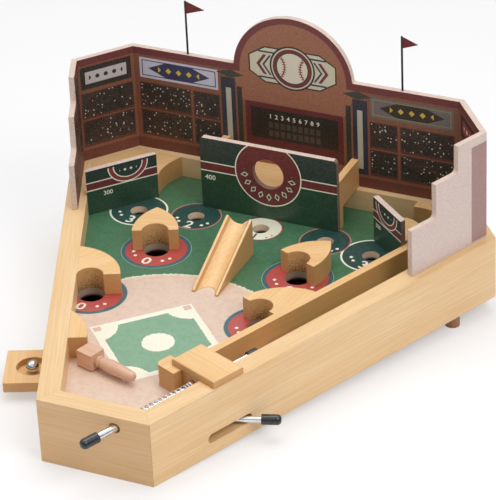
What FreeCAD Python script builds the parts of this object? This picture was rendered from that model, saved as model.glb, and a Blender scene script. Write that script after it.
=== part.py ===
"""Tabletop baseball bagatelle: a fan-shaped wooden case with a recessed playfield,
a spring plunger in a side lane, a bat worked by a side lever through a crank,
a sliding ball tray, and a printed stadium of thin panels that stand in the rim.

Everything is drawn in the board's own frame: X to the right, Y from the player's
end to the back, Z square to the playfield, zero at the foot of the front wall.
Each piece is then leaned back with the board, which stands on a narrow flat of the
front wall and on two rear feet, so that a ball rolls home.
"""
import FreeCAD, Part
import math
import os
import re
import Sketcher
from FreeCAD import Placement, Rotation, Vector

SIZES = [
    ("front_wide", 108, "narrow front end, over its corners"),
    ("side_long", 424, "flared side wall, along its outer face"),
    ("return_long", 73.9, "short wall from the widest corner to the back"),
    ("flare_angle", 23.2, "how far a side wall leans out from straight back"),
    ("return_angle", 51.6, "how far a return wall leans in from sideways"),
    ("wall_high", 64, "walls of the case"),
    ("wall_thick", 20, "walls of the case"),
    ("field_level", 42.5, "top of the playfield above the foot of the walls"),
    ("field_thick", 9, "playfield board"),
    ("field_housing", 5, "how deep the playfield enters the walls"),
    ("base_level", 1, "underside of the base panel above the foot of the walls"),
    ("base_thick", 4, "base panel"),
    ("base_lap", 8, "how far the base panel's rebate runs under the walls"),
    ("board_tilt", 2.46, "lean of the whole game on its rear feet, degrees"),
    ("rest_land", 3, "flat planed on the front wall's foot, front to back"),
    ("foot_wide", 14, "rear foot peg"),
    ("foot_short", 46, "rear foot from the widest corner, along the side wall"),
    ("foot_inset", 11.5, "rear foot's centre in from the wall's outer face"),
    ("foot_housing", 10, "how far a foot peg enters the wall"),
    ("ball_wide", 12, "steel ball"),
    ("running_gap", 0.05, "radial clearance of a shaft in its hole"),
    ("loose_gap", 0.3, "clearance of pieces that pass or rest near each other"),
    ("hole_wide", 16.5, "scoring hole"),
    ("out_wide", 24.6, "out hole, and the notch of the block behind it"),
    ("field_centre", -10, "middle line of the printed field"),
    ("triple_half", 120.9, "triple hole from the middle line"),
    ("triple_short", 37.21338, "line of the triple holes, short of the widest corners"),
    ("double_half", 67.3, "double hole from its own middle line"),
    ("double_centre", -6.6, "middle line of the double holes"),
    ("double_past", 9, "double holes beyond that line"),
    ("single_across", -5.9, "single hole"),
    ("single_past", 9, "single hole beyond that line"),
    ("out_round", 53, "radius of the out blocks' curved sides"),
    ("upper_out_half", 72.7, "upper out hole from the middle line"),
    ("upper_out_before", 60.5, "upper out holes before that line"),
    ("upper_out_reach", 22, "upper out block, from hole centre to a front corner"),
    ("lower_left_across", -104, "lower left out hole"),
    ("lower_left_far", 199, "lower left out hole from the front"),
    ("lower_left_reach", 28, "lower left out block, hole centre to its corner"),
    ("lower_right_across", 64, "lower right out hole"),
    ("lower_right_far", 204.7, "lower right out hole from the front"),
    ("lower_right_reach", 22.4, "lower right out block, hole centre to its corner"),
    ("lane_wide", 24.5, "plunger lane"),
    ("divider_thick", 8, "strip between the lane and the playfield"),
    ("divider_short", 63, "divider's far end from the widest corner, along the side wall"),
    ("guide_from", 66, "block beside the plunger's spring, along the side wall"),
    ("guide_long", 18, "the same block, along the wall"),
    ("guide_wide", 24.5, "the same block, across"),
    ("guide_round", 6, "its rounded corner"),
    ("stop_from", 76, "block in the lane that the plunger runs in, along the wall"),
    ("stop_long", 16, "the same block, along the wall"),
    ("cover_from", 74.5, "plate over the lane, along the wall"),
    ("cover_long", 34.3, "the same plate, along the wall"),
    ("cover_across", 54.5, "the same plate, across"),
    ("cover_thick", 7, "the same plate"),
    ("cover_round", 2.3, "rounding of its top edges"),
    ("cover_inset", 1.5, "the same plate, in from the wall's outer face"),
    ("rod_short", 34, "where the plunger's axis leaves the front face, from its right corner"),
    ("rod_level", 53, "plunger's axis above the foot of the walls"),
    ("rod_wide", 5, "plunger rod"),
    ("rod_mouth", 9.6, "wide mouths of the plunger's hole in the front wall"),
    ("mouth_deep", 9.4, "outer mouth, along the plunger"),
    ("seat_from", 18.4, "inner mouth's floor that the spring sits on, along the plunger"),
    ("grip_wide", 7, "thick outer end of the plunger rod"),
    ("rod_out", 33.5, "plunger rod before the front face"),
    ("knob_out", 36.2, "rubber knob's end before the front face"),
    ("knob_long", 17.6, "rubber knobs of plunger and lever"),
    ("knob_wide", 9.6, "the same knobs"),
    ("knob_dome", 3.9, "rounding of their outer ends"),
    ("tip_from", 154, "rubber tip that strikes the ball, along the plunger"),
    ("tip_long", 11, "the same tip"),
    ("tip_wide", 8, "the same tip"),
    ("tip_round", 1.6, "rounding of its striking end"),
    ("collar_wide", 10.6, "collar that the spring pushes"),
    ("collar_long", 4, "the same collar"),
    ("collar_round", 1, "rounding of its rims"),
    ("coil_wire", 1.2, "wire of the plunger's spring"),
    ("coil_wide", 9, "plunger's spring, over its wire"),
    ("coil_turns", 12, "open turns of the plunger's spring"),
    ("coil_end_turns", 1.5, "close turns at each end of the spring"),
    ("coil_close_gap", 0.54, "gap between its close turns"),
    ("bat_beside", 80.5, "bat's pivot, left of the lever's"),
    ("bat_far", 93.7, "bat's pivot from the front"),
    ("bat_rest", 17, "bat at rest, degrees below sideways"),
    ("bat_swing", 56, "bat's swing"),
    ("bat_lift", 1, "gap under the bat"),
    ("bat_block_long", 18, "square end of the bat"),
    ("bat_block_wide", 16.5, "the same, across"),
    ("bat_block_high", 15.5, "the same, upward"),
    ("bat_level", 51, "middle of the turned barrel"),
    ("bat_neck", 8.4, "thinnest part of the barrel"),
    ("bat_barrel", 12.6, "thickest part of the barrel"),
    ("bat_tip", 8.2, "barrel at its tip"),
    ("bat_nose", 3.3, "rounding of the tip"),
    ("bat_swell", 11, "from the bead to the thickest part"),
    ("bead_from", 2.4, "turned bead, from the square block"),
    ("bead_long", 2, "the same bead"),
    ("bead_wide", 11, "the same bead"),
    ("bead_slope", 0.6, "slope of its sides"),
    ("bat_long", 53.5, "bat's pivot to its tip"),
    ("shaft_wide", 6, "steel shaft under the bat"),
    ("shaft_grip", 12.5, "how far the shaft enters the bat"),
    ("crank_long", 33, "crank, from shaft to pin"),
    ("crank_level", 27, "underside of the crank"),
    ("link_thick", 3, "steel of the crank and the fork"),
    ("link_wide", 14, "the same steel"),
    ("pin_wide", 4, "crank pin"),
    ("pin_play", 1.4, "play of the crank pin in the fork, each side"),
    ("lever_short", 24, "lever's pivot, left of the front's right corner"),
    ("lever_far", 77.5, "lever's pivot from the front"),
    ("lever_rest", 18.6, "lever at rest, degrees above sideways"),
    ("lever_level", 16.8, "lever's axis above the foot of the walls"),
    ("lever_wide", 6, "lever rod"),
    ("lever_long", 99, "from the lever's pivot to the end of its rod"),
    ("lever_seat", 1, "steel between the lever rod's end and its pivot pin"),
    ("lever_cap", 2, "rubber past the end of the lever rod"),
    ("slot_from", 63.9, "lever's slot, along the side wall"),
    ("slot_to", 115, "the slot's far end"),
    ("slot_high", 9, "lever's slot"),
    ("hub_wide", 16, "hub that the lever rod is fixed in"),
    ("spigot_wide", 10, "upper end of the hub, in the fork"),
    ("fork_level", 22, "underside of the fork"),
    ("fork_long", 60, "fork, from the lever's pivot"),
    ("fork_from", 45, "inner end of the fork's slot"),
    ("pivot_wide", 5, "pin that the hub turns on"),
    ("pivot_housing", 5, "how far the pin enters the playfield's underside"),
    ("tray_from", 100, "ball tray, along the left wall from the front corner"),
    ("tray_wide", 54, "ball tray, along the wall"),
    ("tray_out", 42.8, "how far the tray stands out"),
    ("tray_grip", 9, "how far the pulled tray still reaches into the case"),
    ("tray_thick", 9.5, "ball tray"),
    ("tray_round", 1.5, "its rounded outer corners"),
    ("cup_wide", 30, "round recess in the tray"),
    ("cup_out", 17.6, "the recess's centre from the wall's outer face"),
    ("cup_deep", 6, "the same recess"),
    ("door_extra", 4, "how much wider than the recess the balls' door is"),
    ("door_head", 1.8, "room over a ball in its door"),
    ("runner_wide", 8, "strips that guide the tray"),
    ("tray_travel", 42, "how far the tray slides in"),
    ("panel_thick", 5.5, "printed panels"),
    ("panel_inset", 7.5, "panels in from the walls' outer faces"),
    ("panel_high", 110.5, "stadium panels above the rim"),
    ("arch_round", 61.7, "arch on the rear panel"),
    ("arch_centre", 105.8, "arch's centre above the rim"),
    ("arch_hollow", 3, "small hollow where the arch meets the panel's top"),
    ("tab_long", 25, "tabs that stand the panels in the rim"),
    ("tab_deep", 8, "the same tabs"),
    ("tab_play", 1, "play of a tab in its mortise, each end"),
    ("tab_short", 65.3, "side panel's tab from the widest corner, along the side wall"),
    ("rear_tab_half", 110, "outer tabs of the rear panel from its middle"),
    ("step_short", 102.2, "stepped panel's front end from the widest corner, along the wall"),
    ("step_one_long", 31.5, "first step"),
    ("step_two_long", 28.8, "second step"),
    ("step_one_high", 47.7, "first step above the rim"),
    ("step_two_high", 82.8, "second step above the rim"),
    ("step_round", 4, "rounded corners of the steps"),
    ("score_centre", -4.9, "middle of the home-run wall"),
    ("score_wide", 141.7, "home-run wall"),
    ("score_high", 76.8, "the same wall, above the playfield"),
    ("score_past", 28.5, "the same wall's face beyond the triple holes' line"),
    ("score_round", 4, "its rounded top corners"),
    ("score_hole", 32, "its hole"),
    ("score_hole_high", 49.2, "the hole's centre above the playfield"),
    ("shelf_thick", 7, "shelf and sides of the box behind the wall"),
    ("catch_high", 29.5, "the box's sides above the rim"),
    ("prop_deep", 8, "props under the box, behind the wall"),
    ("ramp_across", -6.3, "middle of the jump ramp"),
    ("ramp_wide", 26.2, "jump ramp"),
    ("ramp_long", 80.7, "jump ramp, from its low end to its high end"),
    ("ramp_before", 35.4, "ramp's high end before the triple holes' line"),
    ("ramp_high", 37.5, "ramp's high end above the playfield"),
    ("ramp_lip", 1.5, "ramp's low end above the playfield"),
    ("groove_round", 12, "radius of the hollow along the ramp"),
    ("groove_deep", 6.5, "depth of the same hollow"),
    ("fence_high", 47.8, "outfield fences above the playfield"),
    ("fence_angle", 49.1, "left fence, degrees from sideways"),
    ("fence_in", 97.13137, "left fence's far end, in from the widest corner"),
    ("fence_past", 30.1, "left fence's far end beyond the triple holes' line"),
    ("fence_long", 84, "left fence before it is fitted to the wall"),
    ("right_fence_angle", 39.8, "right fence, degrees from sideways"),
    ("right_fence_in", 117.73137, "right fence's far end, in from the widest corner"),
    ("right_fence_past", 26.8, "right fence's far end beyond the triple holes' line"),
    ("right_fence_long", 62, "right fence before it is fitted to the divider"),
    ("backing_beside", 26.2, "round block behind the right fence, right of its far end"),
    ("backing_past", 20, "the same block beyond the triple holes' line"),
    ("backing_round", 22.5, "its radius"),
    ("left_turn_beside", 49.4, "centre of the left corner block's hollow, right of the left fence"),
    ("left_turn_past", 47.5, "the same centre beyond the triple holes' line"),
    ("left_turn_round", 53, "the same hollow"),
    ("left_block_reach", 37.1, "left corner block, from its hollow's centre to its right end"),
    ("right_turn_beside", 32.4, "centre of the right corner block's hollow, right of the right fence"),
    ("right_turn_past", 15.1, "the same centre beyond the triple holes' line"),
    ("right_turn_round", 49.8, "the same hollow"),
    ("right_turn_left", 6.7, "left end of the right corner block, left of its hollow's centre"),
    ("right_turn_start", 5.5, "near end of the right corner block beyond that line"),
    ("cushion_from", 97, "curved block on the left wall, along the wall"),
    ("cushion_long", 46, "the same block"),
    ("cushion_centre", 100, "its curve's centre, along the wall"),
    ("cushion_thick", 17, "the same block, where it is thickest"),
    ("cushion_round", 62, "its curve"),
    ("pole_wide", 2, "flagpoles"),
    ("pole_high", 56.5, "flagpoles above the panel's top"),
    ("pole_deep", 12, "how far a pole runs down into the panel"),
    ("pole_half", 111, "flagpoles from the middle"),
    ("pennant_long", 20, "left pennant"),
    ("pennant_high", 13.5, "left pennant at its pole"),
    ("right_pennant_long", 16, "right pennant"),
    ("right_pennant_high", 12.4, "right pennant at its pole"),
    ("pennant_thick", 0.8, "pennants"),
    ("screw_wide", 3, "screws that hold the base panel"),
    ("screw_deep", 9, "the same screws in the walls"),
    ("screw_head", 6, "their heads"),
    ("front_screw_half", 18, "front screws from the middle"),
    ("rear_screw_half", 87.5, "rear screws from the middle"),
]

# Places that follow the case: the outfield keeps its distance from the widest corners,
# and the plunger, lever and bat keep theirs from the front's right corner.
FOLLOWING = [
    ("triple_far", "=side_long * cos(flare_angle) - triple_short", "triple holes from the front"),
    ("double_far", "=triple_far + double_past", "double holes from the front"),
    ("single_far", "=triple_far + single_past", "single hole from the front"),
    ("upper_out_far", "=triple_far - upper_out_before", "upper out holes from the front"),
    ("divider_end", "=side_long - divider_short", "divider's far end, along the side wall"),
    ("foot_along", "=side_long - foot_short", "rear foot, along the side wall"),
    ("tab_along", "=side_long - tab_short", "side panel's tab, along the side wall"),
    ("step_from", "=side_long - step_short", "stepped panel's front end, along the side wall"),
    ("score_far", "=triple_far + score_past", "home-run wall's face from the front"),
    ("ramp_far", "=triple_far - ramp_before", "ramp's high end from the front"),
    ("ramp_near", "=ramp_far - ramp_long", "ramp's low end from the front"),
    ("fence_far", "=triple_far + fence_past", "left fence's far end from the front"),
    ("right_fence_far", "=triple_far + right_fence_past", "right fence's far end from the front"),
    ("backing_far", "=triple_far + backing_past", "round block from the front"),
    ("left_turn_far", "=triple_far + left_turn_past", "left hollow's centre from the front"),
    ("right_turn_far", "=triple_far + right_turn_past", "right hollow's centre from the front"),
    ("right_turn_near", "=triple_far + right_turn_start", "near end of the right corner block"),
    ("rod_across", "=front_wide / 2 - rod_short", "where the plunger's axis leaves the front face"),
    ("lever_across", "=front_wide / 2 - lever_short", "lever's pivot"),
    ("bat_across", "=lever_across - bat_beside", "bat's pivot"),
    ("wide_half", "=front_wide / 2 + side_long * sin(flare_angle)", "widest corner from the middle"),
    ("fence_across", "=fence_in - wide_half", "left fence's far end"),
    ("right_fence_across", "=wide_half - right_fence_in", "right fence's far end"),
    ("backing_across", "=right_fence_across + backing_beside", "round block behind the right fence"),
    ("left_turn_across", "=fence_across + left_turn_beside", "left hollow's centre"),
    ("right_turn_across", "=right_fence_across + right_turn_beside", "right hollow's centre"),
    ("right_turn_from", "=right_turn_across - right_turn_left", "left end of the right corner block"),
]

doc = FreeCAD.newDocument("bagatelle")
sheet = doc.addObject("Spreadsheet::Sheet", "Sizes")
for row, (alias, number, meaning) in enumerate(SIZES + FOLLOWING, start=1):
    sheet.set(f"A{row}", meaning)
    sheet.set(f"B{row}", str(number))
    sheet.setAlias(f"B{row}", alias)
doc.recompute()

NODES = []
ACROSS = Vector(1, 0, 0)
AWAY = Vector(0, 1, 0)
UP = Vector(0, 0, 1)
HERE = ("0", "0", "0")
WIRE_SIDES = 7

# Lengths, places and angles that follow from the driving sizes.
FRONT_HALF = "(front_wide / 2)"
FRONT_MITRE = "((90 - flare_angle) / 2)"
WIDE_MITRE = "((90 + flare_angle - return_angle) / 2)"
REAR_MITRE = "(return_angle / 2)"
WIDE_X = "wide_half"
WIDE_Y = "(side_long * cos(flare_angle))"
REAR_X = f"({WIDE_X} - return_long * cos(return_angle))"
REAR_Y = f"({WIDE_Y} + return_long * sin(return_angle))"
REAR_LONG = f"(2 * {REAR_X})"
FIELD_UNDER = "(field_level - field_thick)"
BASE_TOP = "(base_level + base_thick)"
WELL_DEEP = "(wall_high - field_level)"
LANE_EDGE = "(wall_thick + lane_wide)"
DIVIDER_EDGE = f"({LANE_EDGE} + divider_thick)"
PANEL_BACK = "(panel_inset + panel_thick)"
ROD_HEADING = "(90 - flare_angle)"
ROD_IN = f"(({FRONT_HALF} - rod_across) * cos(flare_angle))"
# Places along the plunger are counted from the front face; the side wall's own
# frame, with the same heading, starts this much later.
ROD_LEAD = f"(({FRONT_HALF} - rod_across) * sin(flare_angle))"
COLLAR_FACE = f"(stop_from + {ROD_LEAD} - loose_gap)"
PIVOT_LINE = "(atan((bat_far - lever_far) / (lever_across - bat_across)) / 1 deg)"
CRANK_REST = f"(0 - {PIVOT_LINE} - bat_swing / 2)"
PIN_X = f"(bat_across + crank_long * cos({CRANK_REST}))"
PIN_Y = f"(bat_far + crank_long * sin({CRANK_REST}))"
FORK_HEADING = f"(180 + atan((lever_far - {PIN_Y}) / (lever_across - {PIN_X})) / 1 deg)"


def formula(text):
    """The same formula, with every size name pointed at the sheet."""
    words = re.compile(r"[a-z]+(?:_[a-z]+)+")
    return words.sub(lambda found: f"Sizes.{found.group(0)}", str(text))


def size(text):
    """What a formula comes to now."""
    return float(sheet.evalExpression(formula(text)))


def bind(thing, **formulas):
    for name, text in formulas.items():
        thing.setExpression(name, formula(text))
    return thing


def put(thing, at, turn="0", about=UP):
    """Places a thing by formulas: where it stands, and its turn about one axis."""
    thing.Placement = Placement(Vector(), Rotation(about, 1))
    for letter, text in zip("xyz", at):
        thing.setExpression(f".Placement.Base.{letter}", formula(text))
    thing.setExpression(".Placement.Rotation.Angle", formula(turn))
    return thing


def group(*things):
    holder = doc.addObject("Part::Compound", "Group")
    holder.Links = list(things)
    return holder


def block(long, wide, high, at=HERE, turn="0", about=UP):
    thing = doc.addObject("Part::Box", "Block")
    bind(thing, Length=long, Width=wide, Height=high)
    return put(thing, at, turn, about)


def post(wide, high, at=HERE, turn="0", about=UP):
    thing = doc.addObject("Part::Cylinder", "Post")
    bind(thing, Radius=f"{wide} / 2", Height=high)
    return put(thing, at, turn, about)


def lying(wide, start, end, at, heading):
    """A round bar that lies along a heading, from one distance to another."""
    bar = post(wide, f"{end} - ({start})", (start, "0", "0"), "90", AWAY)
    return put(group(bar), at, heading)


def cut(base, *tools):
    for tool in tools:
        result = doc.addObject("Part::Cut", "Cut")
        result.Base = base
        result.Tool = tool
        base = result
    return base


def join(*things):
    result = doc.addObject("Part::MultiFuse", "Joined")
    result.Shapes = list(things)
    result.Refine = True
    return result


def common(base, tool):
    result = doc.addObject("Part::Common", "Common")
    result.Base = base
    result.Tool = tool
    return result


def rounded(base, radius, wanted):
    """Rounds the edges that pass the test."""
    doc.recompute()
    edges = [number for number, edge in enumerate(base.Shape.Edges, start=1) if wanted(edge)]
    result = doc.addObject("Part::Fillet", "Rounded")
    result.Base = base
    result.Edges = [(number, size(radius), size(radius)) for number in edges]
    return result


def pin_point(sketch, index, end, x, y):
    """Fixes a sketch point by its two formulas."""
    for kind, text in (("DistanceX", x), ("DistanceY", y)):
        number = sketch.addConstraint(Sketcher.Constraint(kind, -1, 1, index, end, size(text)))
        sketch.setExpression(f"Constraints[{number}]", formula(text))


def outline(points, label):
    """A body with a closed sketch of straight lines between formula points."""
    body = doc.addObject("PartDesign::Body", label)
    plane = next(each for each in body.Origin.OriginFeatures if each.Role == "XY_Plane")
    sketch = body.newObject("Sketcher::SketchObject", "Outline")
    sketch.AttachmentSupport = (plane, [""])
    sketch.MapMode = "FlatFace"
    corners = [Vector(size(x), size(y), 0) for x, y in points]
    following = corners[1:] + corners[:1]
    for start, end in zip(corners, following):
        sketch.addGeometry(Part.LineSegment(start, end))
    for index in range(len(corners)):
        after = (index + 1) % len(corners)
        sketch.addConstraint(Sketcher.Constraint("Coincident", index, 2, after, 1))
    for index, (x, y) in enumerate(points):
        pin_point(sketch, index, 1, x, y)
    return body, sketch


def board(points, thick, level="0", holes=()):
    """A board cut to an outline, with round holes through it."""
    body, sketch = outline(points, "Board")
    sketch.setExpression("AttachmentOffset.Base.z", formula(level))
    for x, y, wide in holes:
        ring = Part.Circle(Vector(size(x), size(y), 0), UP, size(wide) / 2)
        index = sketch.addGeometry(ring)
        pin_point(sketch, index, 3, x, y)
        number = sketch.addConstraint(Sketcher.Constraint("Diameter", index, size(wide)))
        sketch.setExpression(f"Constraints[{number}]", formula(wide))
    pad = body.newObject("PartDesign::Pad", "Thickness")
    pad.Profile = sketch
    pad.setExpression("Length", formula(thick))
    return body


def turned(points):
    """A piece turned about the X axis from a profile of distances and radii."""
    body, sketch = outline(points, "Turning")
    spin = body.newObject("PartDesign::Revolution", "Turned")
    spin.Profile = sketch
    spin.ReferenceAxis = (sketch, ["H_Axis"])
    spin.Angle = 360
    return body


def keep(label, thing):
    """Names a finished piece and leans it back with the board."""
    foot = ("0", "-rest_land / 2", "-rest_land * sin(board_tilt)")
    node = put(group(thing), foot, "board_tilt", ACROSS)
    node.Label = label
    NODES.append(node)


def at_right_wall(thing):
    return put(group(thing), (FRONT_HALF, "0", "0"), ROD_HEADING)


def at_left_wall(thing):
    return put(group(thing), (f"-{WIDE_X}", WIDE_Y, "0"), "270 + flare_angle")


def at_right_return(thing):
    return put(group(thing), (WIDE_X, WIDE_Y, "0"), "180 - return_angle")


def at_left_return(thing):
    return put(group(thing), (f"-{REAR_X}", REAR_Y, "0"), "180 + return_angle")


def at_rear_wall(thing):
    return put(group(thing), (REAR_X, REAR_Y, "0"), "180")


def at_front_wall(thing):
    return put(group(thing), (f"-{FRONT_HALF}", "0", "0"))


def case_outline(inset):
    """The case's plan, drawn in from the walls' outer faces."""
    wide_x = f"{WIDE_X} - {inset} * (tan({WIDE_MITRE}) * sin(flare_angle) + cos(flare_angle))"
    wide_y = f"{WIDE_Y} - {inset} * (tan({WIDE_MITRE}) * cos(flare_angle) - sin(flare_angle))"
    right = [(f"{FRONT_HALF} - {inset} * tan({FRONT_MITRE})", inset), (wide_x, wide_y),
             (f"{REAR_X} - {inset} * tan({REAR_MITRE})", f"{REAR_Y} - {inset}")]
    return right + [(f"-({x})", y) for x, y in reversed(right)]


def mitred(long, start, end, outer, inner):
    """Plan of a strip between two depths of a wall, with its ends at the mitres."""
    return [(f"{outer} * tan({start})", outer), (f"{long} - {outer} * tan({end})", outer),
            (f"{long} - {inner} * tan({end})", inner), (f"{inner} * tan({start})", inner)]


def well():
    """The space of the recess over the playfield, and up past the rim."""
    return board(case_outline("wall_thick"), "2 * wall_high", "field_level")


def table():
    """The table under the leaning board, as a slab to cut with."""
    back = "rest_land - wall_high * (cos(board_tilt) + sin(board_tilt))"
    down = "wall_high * (sin(board_tilt) - cos(board_tilt))"
    corner = ("-side_long", back, down)
    return block("2 * side_long", "2 * side_long", "wall_high", corner, "-board_tilt", ACROSS)


# Walls run counterclockwise from the front; in a wall's own frame X runs along its
# outer face, Y goes inward and Z up.
def wall(long, start, end):
    blank = board(mitred(long, start, end, "0", "wall_thick"), "wall_high")
    housing = block(long, "field_housing", "field_thick", ("0", "wall_thick - field_housing", FIELD_UNDER))
    rebate = block(long, "base_lap", BASE_TOP, ("0", "wall_thick - base_lap", "0"))
    return cut(blank, housing, rebate)


def tabs(middles, play):
    """Tabs under a panel, or with play the mortises for them."""
    return [block(f"tab_long + 2 * {play}", "panel_thick", "tab_deep",
                  (f"{middle} - tab_long / 2 - {play}", "panel_inset", "wall_high - tab_deep"))
            for middle in middles]


RETURN_TABS = ["return_long / 2"]
REAR_TABS = [f"{REAR_X} - rear_tab_half", REAR_X, f"{REAR_X} + rear_tab_half"]


def screw_places():
    rear = f"{REAR_Y} - wall_thick + base_lap / 2"
    front = "wall_thick - base_lap / 2"
    return [("-front_screw_half", front), ("front_screw_half", front),
            ("-rear_screw_half", rear), ("rear_screw_half", rear)]


def screw_shanks():
    return [post("screw_wide", "base_thick + screw_deep", (x, y, "base_level")) for x, y in screw_places()]


def foot_peg(along):
    return post("foot_wide", "2 * foot_wide + foot_housing", (along, "foot_inset", "-2 * foot_wide"))


def foot_pegs():
    return [at_right_wall(foot_peg("foot_along")), at_left_wall(foot_peg("side_long - foot_along"))]


def front_wall():
    blank = at_front_wall(wall("front_wide", FRONT_MITRE, FRONT_MITRE))
    axis = ("rod_across", "0", "rod_level")
    bore = lying("rod_wide + 2 * running_gap", "-wall_thick", "3 * wall_thick", axis, ROD_HEADING)
    outer_mouth = lying("rod_mouth", "-wall_thick", "mouth_deep", axis, ROD_HEADING)
    spring_seat = lying("rod_mouth", "seat_from", "3 * wall_thick", axis, ROD_HEADING)
    keep("front_wall", cut(blank, bore, outer_mouth, spring_seat, table(), *screw_shanks()))


def side_walls():
    slot = [block("slot_to - slot_from - slot_high", "3 * wall_thick", "slot_high",
                  ("slot_from + slot_high / 2", "-wall_thick", "lever_level - slot_high / 2"))]
    for end in ("slot_from + slot_high / 2", "slot_to - slot_high / 2"):
        corner = (end, "2 * wall_thick", "lever_level")
        slot.append(post("slot_high", "3 * wall_thick", corner, "90", ACROSS))
    right = cut(wall("side_long", FRONT_MITRE, WIDE_MITRE), *slot, foot_peg("foot_along"),
                *tabs(["tab_along"], "tab_play"))
    keep("right_wall", at_right_wall(right))

    door = block("tray_wide + 2 * loose_gap", "3 * wall_thick", "tray_thick + 2 * loose_gap",
                 ("side_long - tray_from - tray_wide - loose_gap", "-wall_thick", BASE_TOP))
    ball_door = block("cup_wide + door_extra", "3 * wall_thick",
                      "loose_gap + tray_thick - cup_deep + ball_wide + door_head",
                      ("side_long - tray_from - tray_wide / 2 - cup_wide / 2 - door_extra / 2",
                       "-wall_thick", BASE_TOP))
    left = cut(wall("side_long", WIDE_MITRE, FRONT_MITRE), door, ball_door,
               foot_peg("side_long - foot_along"), *tabs(["side_long - tab_along"], "tab_play"))
    keep("left_wall", at_left_wall(left))


def rear_walls():
    right = cut(wall("return_long", WIDE_MITRE, REAR_MITRE), *tabs(RETURN_TABS, "tab_play"))
    keep("right_return_wall", at_right_return(right))
    left = cut(wall("return_long", REAR_MITRE, WIDE_MITRE), *tabs(RETURN_TABS, "tab_play"))
    keep("left_return_wall", at_left_return(left))
    rear = at_rear_wall(cut(wall(REAR_LONG, REAR_MITRE, REAR_MITRE), *tabs(REAR_TABS, "tab_play")))
    keep("rear_wall", cut(rear, *screw_shanks()))


UPPER_OUTS = [("left", "field_centre - upper_out_half", "upper_out_far", "flare_angle"),
              ("right", "field_centre + upper_out_half", "upper_out_far", "-flare_angle")]
LOWER_LEFT = ("lower_left_across", "lower_left_far")
LOWER_RIGHT = ("lower_right_across", "lower_right_far")


def playfield():
    scoring = [("field_centre - triple_half", "triple_far"), ("field_centre + triple_half", "triple_far"),
               ("double_centre - double_half", "double_far"), ("double_centre + double_half", "double_far"),
               ("single_across", "single_far")]
    outs = [(x, y) for side, x, y, heading in UPPER_OUTS] + [LOWER_LEFT, LOWER_RIGHT]
    holes = [(x, y, "hole_wide") for x, y in scoring] + [(x, y, "out_wide") for x, y in outs]
    holes.append(("bat_across", "bat_far", "shaft_wide + 2 * running_gap"))
    panel = board(case_outline("(wall_thick - field_housing)"), "field_thick", FIELD_UNDER, holes)
    socket = post("pivot_wide", "pivot_housing", ("lever_across", "lever_far", FIELD_UNDER))
    keep("playfield", cut(panel, socket))


def base_panel():
    holes = [("bat_across", "bat_far", "shaft_wide + 2 * running_gap"),
             ("lever_across", "lever_far", "pivot_wide")]
    holes += [(x, y, "screw_wide") for x, y in screw_places()]
    panel = board(case_outline("(wall_thick - base_lap)"), "base_thick", "base_level", holes)
    keep("base_panel", cut(panel, *foot_pegs()))
    heads = [post("screw_head", "base_level", (x, y, "0")) for x, y in screw_places()]
    screws = [join(head, shank) for head, shank in zip(heads, screw_shanks())]
    keep("base_screws", group(*screws))


def rear_feet():
    for side, peg in zip(("right", "left"), foot_pegs()):
        keep(f"rear_foot_{side}", cut(peg, table()))


def launch_lane():
    strip = block("divider_end - guide_from - guide_long", "divider_thick", WELL_DEEP,
                  ("guide_from + guide_long", LANE_EDGE, "field_level"))
    keep("lane_divider", at_right_wall(strip))

    guide = block("guide_long", "guide_wide", WELL_DEEP, ("guide_from", LANE_EDGE, "field_level"))
    far_side = size(f"{LANE_EDGE} + guide_wide")

    def front_corner(edge):
        middle = edge.CenterOfMass
        return abs(middle.x - size("guide_from")) < 0.01 and abs(middle.y - far_side) < 0.01

    keep("launcher_guide_block", at_right_wall(rounded(guide, "guide_round", front_corner)))

    stop = block("stop_long", "lane_wide", WELL_DEEP, ("stop_from", "wall_thick", "field_level"))
    bore = post("rod_wide + 2 * running_gap", "3 * stop_long",
                ("stop_from - stop_long", ROD_IN, "rod_level"), "90", AWAY)
    keep("plunger_guide_block", at_right_wall(cut(stop, bore)))

    plate = block("cover_long", "cover_across", "cover_thick", ("cover_from", "cover_inset", "wall_high"))

    def top_edge(edge):
        return edge.CenterOfMass.z > size("wall_high + 0.9 * cover_thick")

    keep("launcher_cap_plate", at_right_wall(rounded(plate, "cover_round", top_edge)))


def out_blocks():
    """Blocks with a notch over each out hole and curved sides that throw a ball clear."""
    notch_high = f"3 * {WELL_DEEP}"
    notch_foot = ("0", "0", f"-{WELL_DEEP}")
    for side, x, y, heading in UPPER_OUTS:
        lobes = [post("2 * out_round", WELL_DEEP, (f"{sign}(out_round - upper_out_reach)", "0", "0"))
                 for sign in ("", "-")]
        face = block("2 * out_round", "out_round", WELL_DEEP, ("-out_round", "0", "0"))
        shape = cut(common(common(*lobes), face), post("out_wide", notch_high, notch_foot))
        keep(f"out_block_upper_{side}", put(group(shape), (x, y, "field_level"), heading))
    lower = [("left", LOWER_LEFT, "lower_left_reach", "-1", "flare_angle"),
             ("right", LOWER_RIGHT, "lower_right_reach", "1", "-flare_angle")]
    for side, (x, y), reach, sign, heading in lower:
        lobe = post("2 * out_round", WELL_DEEP, (f"{sign} * (out_round - {reach})", "0", "0"))
        face = block("4 * out_round", "out_round", WELL_DEEP, ("-2 * out_round", "0", "0"))
        shape = cut(common(lobe, face), post("out_wide", notch_high, notch_foot))
        fitted = common(put(group(shape), (x, y, "field_level"), heading), well())
        if side == "right":
            fitted = cut(fitted, lane_side())
        keep(f"out_block_lower_{side}", fitted)


def lane_side():
    """Everything from the right wall's outer face to the divider's field side."""
    return at_right_wall(block("side_long", DIVIDER_EDGE, "3 * wall_high"))


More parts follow.
